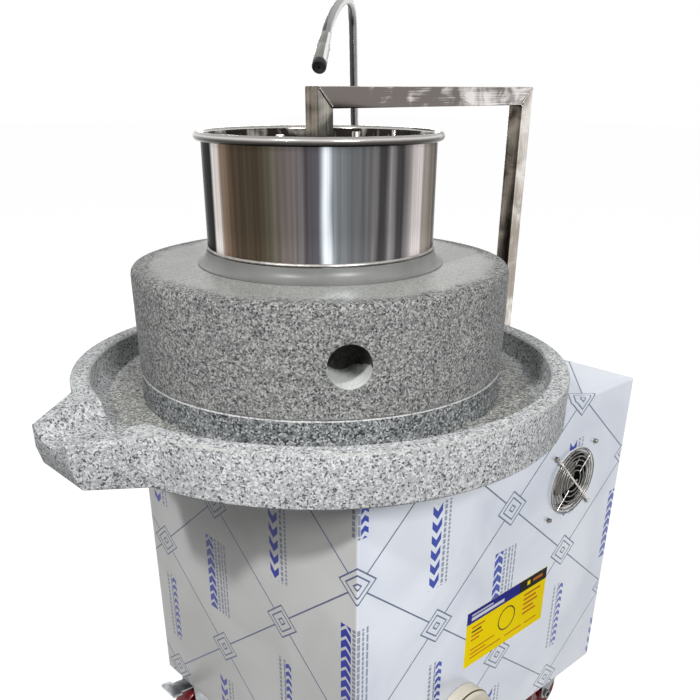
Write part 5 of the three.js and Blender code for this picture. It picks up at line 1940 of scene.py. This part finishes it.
@dataclass
class Switch:
    """Round reversing switch: cream housing, grooved face and bar handle. Sizes in mm."""

    shop: Workshop
    radius: float = 42.0
    depth: float = 22.0
    face_radius: float = 33.0
    bore: float = 4.3
    gap: float = 0.3
    groove: tuple[float, float] = (6.2, 4.4)
    steps: int = 72

    def build(self) -> None:
        """Builds housing, face and handle."""
        centre = self.shop.joints["switch_turn"]
        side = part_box("cabinet_shell")[1].x
        place = facing(RIGHT, Vector((side, centre.y, centre.z)))
        rim, start, front = self.radius, self.gap, self.gap + self.depth
        low, high = front - self.groove[0], front - self.groove[1]
        housing = [
            (self.bore, start), (rim - 1, start), (rim, start + 1), (rim, front - 7),
            (rim - 0.5, low), (rim - 3, low), (rim - 3, high), (rim - 1.4, high),
            (rim - 2.4, front - 2), (rim - 4, front - 0.6), (rim - 6, front), (self.bore, front),
        ]
        case = turned("switch_case", housing, place, self.steps)
        # Painted shade: a dark ring in the groove at the housing's front edge.
        groove = Moulded("groove_in_shade", "#6e6a60", "#57544c", 0.7)
        coat(case, self.shop.finishes["cream_plastic"], groove.build())
        for face in case.data.polygons:
            away = (face.center.x - side) / MM
            face.material_index = int(low - 0.1 < away < high + 0.1)
        self.shop.stand_in(case, "switch_housing")
        back = front + self.gap
        top = back + 3
        ring = self.face_radius
        plate = [
            (self.bore, back), (ring - 0.4, back), (ring, back + 0.4), (ring, top - 0.6),
            (ring - 0.6, top), (ring - 1.8, top), (ring - 2, top - 0.3), (ring - 2, top - 2),
            (ring - 4, top - 2), (ring - 4, top - 0.3), (ring - 4.2, top), (self.bore, top),
        ]
        self.shop.stand_in(turned("switch_plate", plate, place, self.steps), "switch_face")
        self.shop.softened("switch_knob", 1.6, 3)


@dataclass
class Castors:
    """Four castors: plate, fork, wheel, axle, and a brake pedal on the front pair. Sizes in mm."""

    shop: Workshop
    wheel_radius: float = 31.1
    half_width: float = 12.0
    places: tuple[str, ...] = ("front_left", "front_right", "rear_left", "rear_right")
    braked: tuple[str, ...] = ("front_left", "front_right")

    def build(self) -> None:
        """Builds each castor's pieces on its own joints."""
        for place in self.places:
            self.shop.softened(f"castor_plate_{place}", 0.5)
            self.shop.softened(f"castor_fork_{place}", 0.5)
            self.wheel(place)
            self.axle(place)
        for place in self.braked:
            self.shop.softened(f"castor_brake_{place}", 0.6)

    def wheel(self, place: str) -> None:
        """Moulded wheel: crowned tread, recessed web and hub.

        Args:
            place: Which corner of the cabinet.
        """
        hub = self.shop.joints[f"wheel_spin_{place}"]
        half = self.half_width
        tread = self.wheel_radius
        side = [
            (4.3, -13.7), (9.4, -13.7), (10, -13.1), (10.6, -6.6), (12, -6), (22.4, -6), (23.6, -7),
            (26.4, -half + 0.6), (27.4, -half), (29, -half), (30.4, -half + 1.2),
            (tread, -half + 3),
        ]
        outline = [*side, *[(radius, -height) for radius, height in reversed(side)]]
        wheel = turned(f"castor_tyre_{place}", outline, facing(RIGHT, hub))
        self.shop.stand_in(wheel, f"castor_wheel_{place}")

    def axle(self, place: str) -> None:
        """Axle bolt with a hexagon head and a nut.

        Args:
            place: Which corner of the cabinet.
        """
        hub = self.shop.joints[f"wheel_spin_{place}"]
        low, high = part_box(f"castor_axle_{place}")
        half = (high.x - low.x) / 2 / MM
        way = facing(RIGHT, hub)
        outline = [(0, -half), (3.9, -half), (3.9, half), (0, half)]
        shank = turned(f"castor_bolt_{place}", outline, way, 24)
        ends = []
        for start, stop in ((-half, -half + 4), (half - 4, half)):
            outline = [
                (0, start), (5.8, start), (6.3, start + 0.5), (6.3, stop - 0.5), (5.8, stop),
                (0, stop),
            ]
            ends.append(smooth(turned("nut", outline, way, 6), NUT_ANGLE))
        self.shop.stand_in(gather(shank, *ends), f"castor_axle_{place}")


@dataclass
class Studio:
    """Camera, lamps, world and floor. Lengths in metres, lens and sensor in mm, angles in degrees."""

    eye: tuple[float, float, float] = (0.6717, -0.6017, 0.8478)
    pitch: float = 63.33
    heading: float = 47.3
    roll: float = 0.23
    lens: float = 41.46
    sensor: float = 36.0
    shift: tuple[float, float] = (0.0037, 0.2013)
    aim: tuple[float, float, float] = (0.0, 0.0, 0.45)
    horizon: float = 0.03
    overhead: float = 0.42
    floor_glow: float = 0.94
    floor_tone: str = "#727272"
    floor_size: float = 40.0

    def build(self) -> None:
        """Sets up everything that isn't the object."""
        self.camera()
        self.world()
        self.lamp("key_lamp", (2.4, -0.71, 2.1), 0.7, 58.0)
        self.lamp("front_lamp", (0.6, -2.2, 2.6), 0.2, 46.0)
        self.lamp("back_lamp", (-2.6, 2.2, 1.0), 1.0, 30.0)
        self.floor()
        bpy.context.scene.view_settings.view_transform = "Standard"

    def camera(self) -> None:
        """The photograph's camera, placed by a fit of its perspective."""
        data = bpy.data.cameras.new("photo_camera")
        data.sensor_width = self.sensor
        data.lens = self.lens
        data.shift_x, data.shift_y = self.shift
        camera = bpy.data.objects.new("photo_camera", data)
        turn = Euler((math.radians(self.pitch), 0, math.radians(self.heading))).to_matrix().to_4x4()
        camera.matrix_world = (
            Matrix.Translation(self.eye) @ turn @ Matrix.Rotation(math.radians(self.roll), 4, "Z")
        )
        bpy.context.scene.collection.objects.link(camera)
        bpy.context.scene.camera = camera

    def plain(self, sheet: NodeSheet) -> Socket:
        """One for what the camera, a mirror or a glass sees, and nought for light on the surfaces.

        Args:
            sheet: The sheet that the nodes go on.

        Returns:
            The nought or one.
        """
        ray = sheet.add("ShaderNodeLightPath").node.outputs
        seen = sheet.add(MATH, (ray["Is Camera Ray"], ray["Is Glossy Ray"]), operation="MAXIMUM")
        return sheet.add(MATH, (seen, ray["Is Transmission Ray"]), operation="MAXIMUM")

    def world(self) -> None:
        """White room for eyes and reflections; on surfaces its light is mostly from overhead."""
        sheet = NodeSheet("white_room", room=True)
        height = sheet.add(SPLIT, (sheet.place,), give=2)
        light = sheet.add(MAP_RANGE, (height, 0.0, 1.0, self.horizon, self.overhead))
        level = sheet.add(MIX, {0: self.plain(sheet), 2: light, 3: 1.0})
        bpy.context.scene.world = sheet.dress(Color=(1, 1, 1, 1), Strength=level)

    def lamp(self, name: str, place: tuple[float, float, float], size: float, power: float) -> None:
        """A square soft lamp aimed at the stones.

        Args:
            name: Name of the lamp.
            place: Where it hangs, in metres.
            size: Length of its side, in metres.
            power: Its power, in watts.
        """
        data = bpy.data.lights.new(name, "AREA")
        data.size = size
        data.energy = power
        lamp = bpy.data.objects.new(name, data)
        way = (Vector(self.aim) - Vector(place)).to_track_quat("-Z", "Y")
        lamp.matrix_world = Matrix.Translation(place) @ way.to_matrix().to_4x4()
        bpy.context.scene.collection.objects.link(lamp)

    def floor(self) -> None:
        """Pale floor that fades into the white room and keeps the shadow."""
        put_down()
        bpy.ops.mesh.primitive_plane_add(size=self.floor_size)
        floor = bpy.context.object
        floor.name = "floor"
        sheet = NodeSheet("pale_floor")
        glow = sheet.add(MATH, (self.plain(sheet), self.floor_glow), operation="MULTIPLY")
        material = sheet.dress(
            Base_Color=linear(self.floor_tone), Roughness=0.9, Specular_IOR_Level=0.0,
            Emission_Color=(1, 1, 1, 1), Emission_Strength=glow,
        )
        coat(floor, material)


def main() -> None:
    """Builds the studio and every sub-assembly round the frame."""
    logging.basicConfig(level=logging.INFO, format="%(name)s: %(message)s")
    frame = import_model()
    Studio().build()
    shop = Workshop(frame)
    for part in (Stones, Hopper, Gantry, WaterNeck, Cabinet, Fan, Switch, Castors):
        LOG.info("building %s", part.__name__)
        part(shop).build()
    for node in HIDDEN_HOUSINGS:
        shop.softened(node, HOUSING_EDGE)
    put_down()


if __name__ == "__main__":
    main()
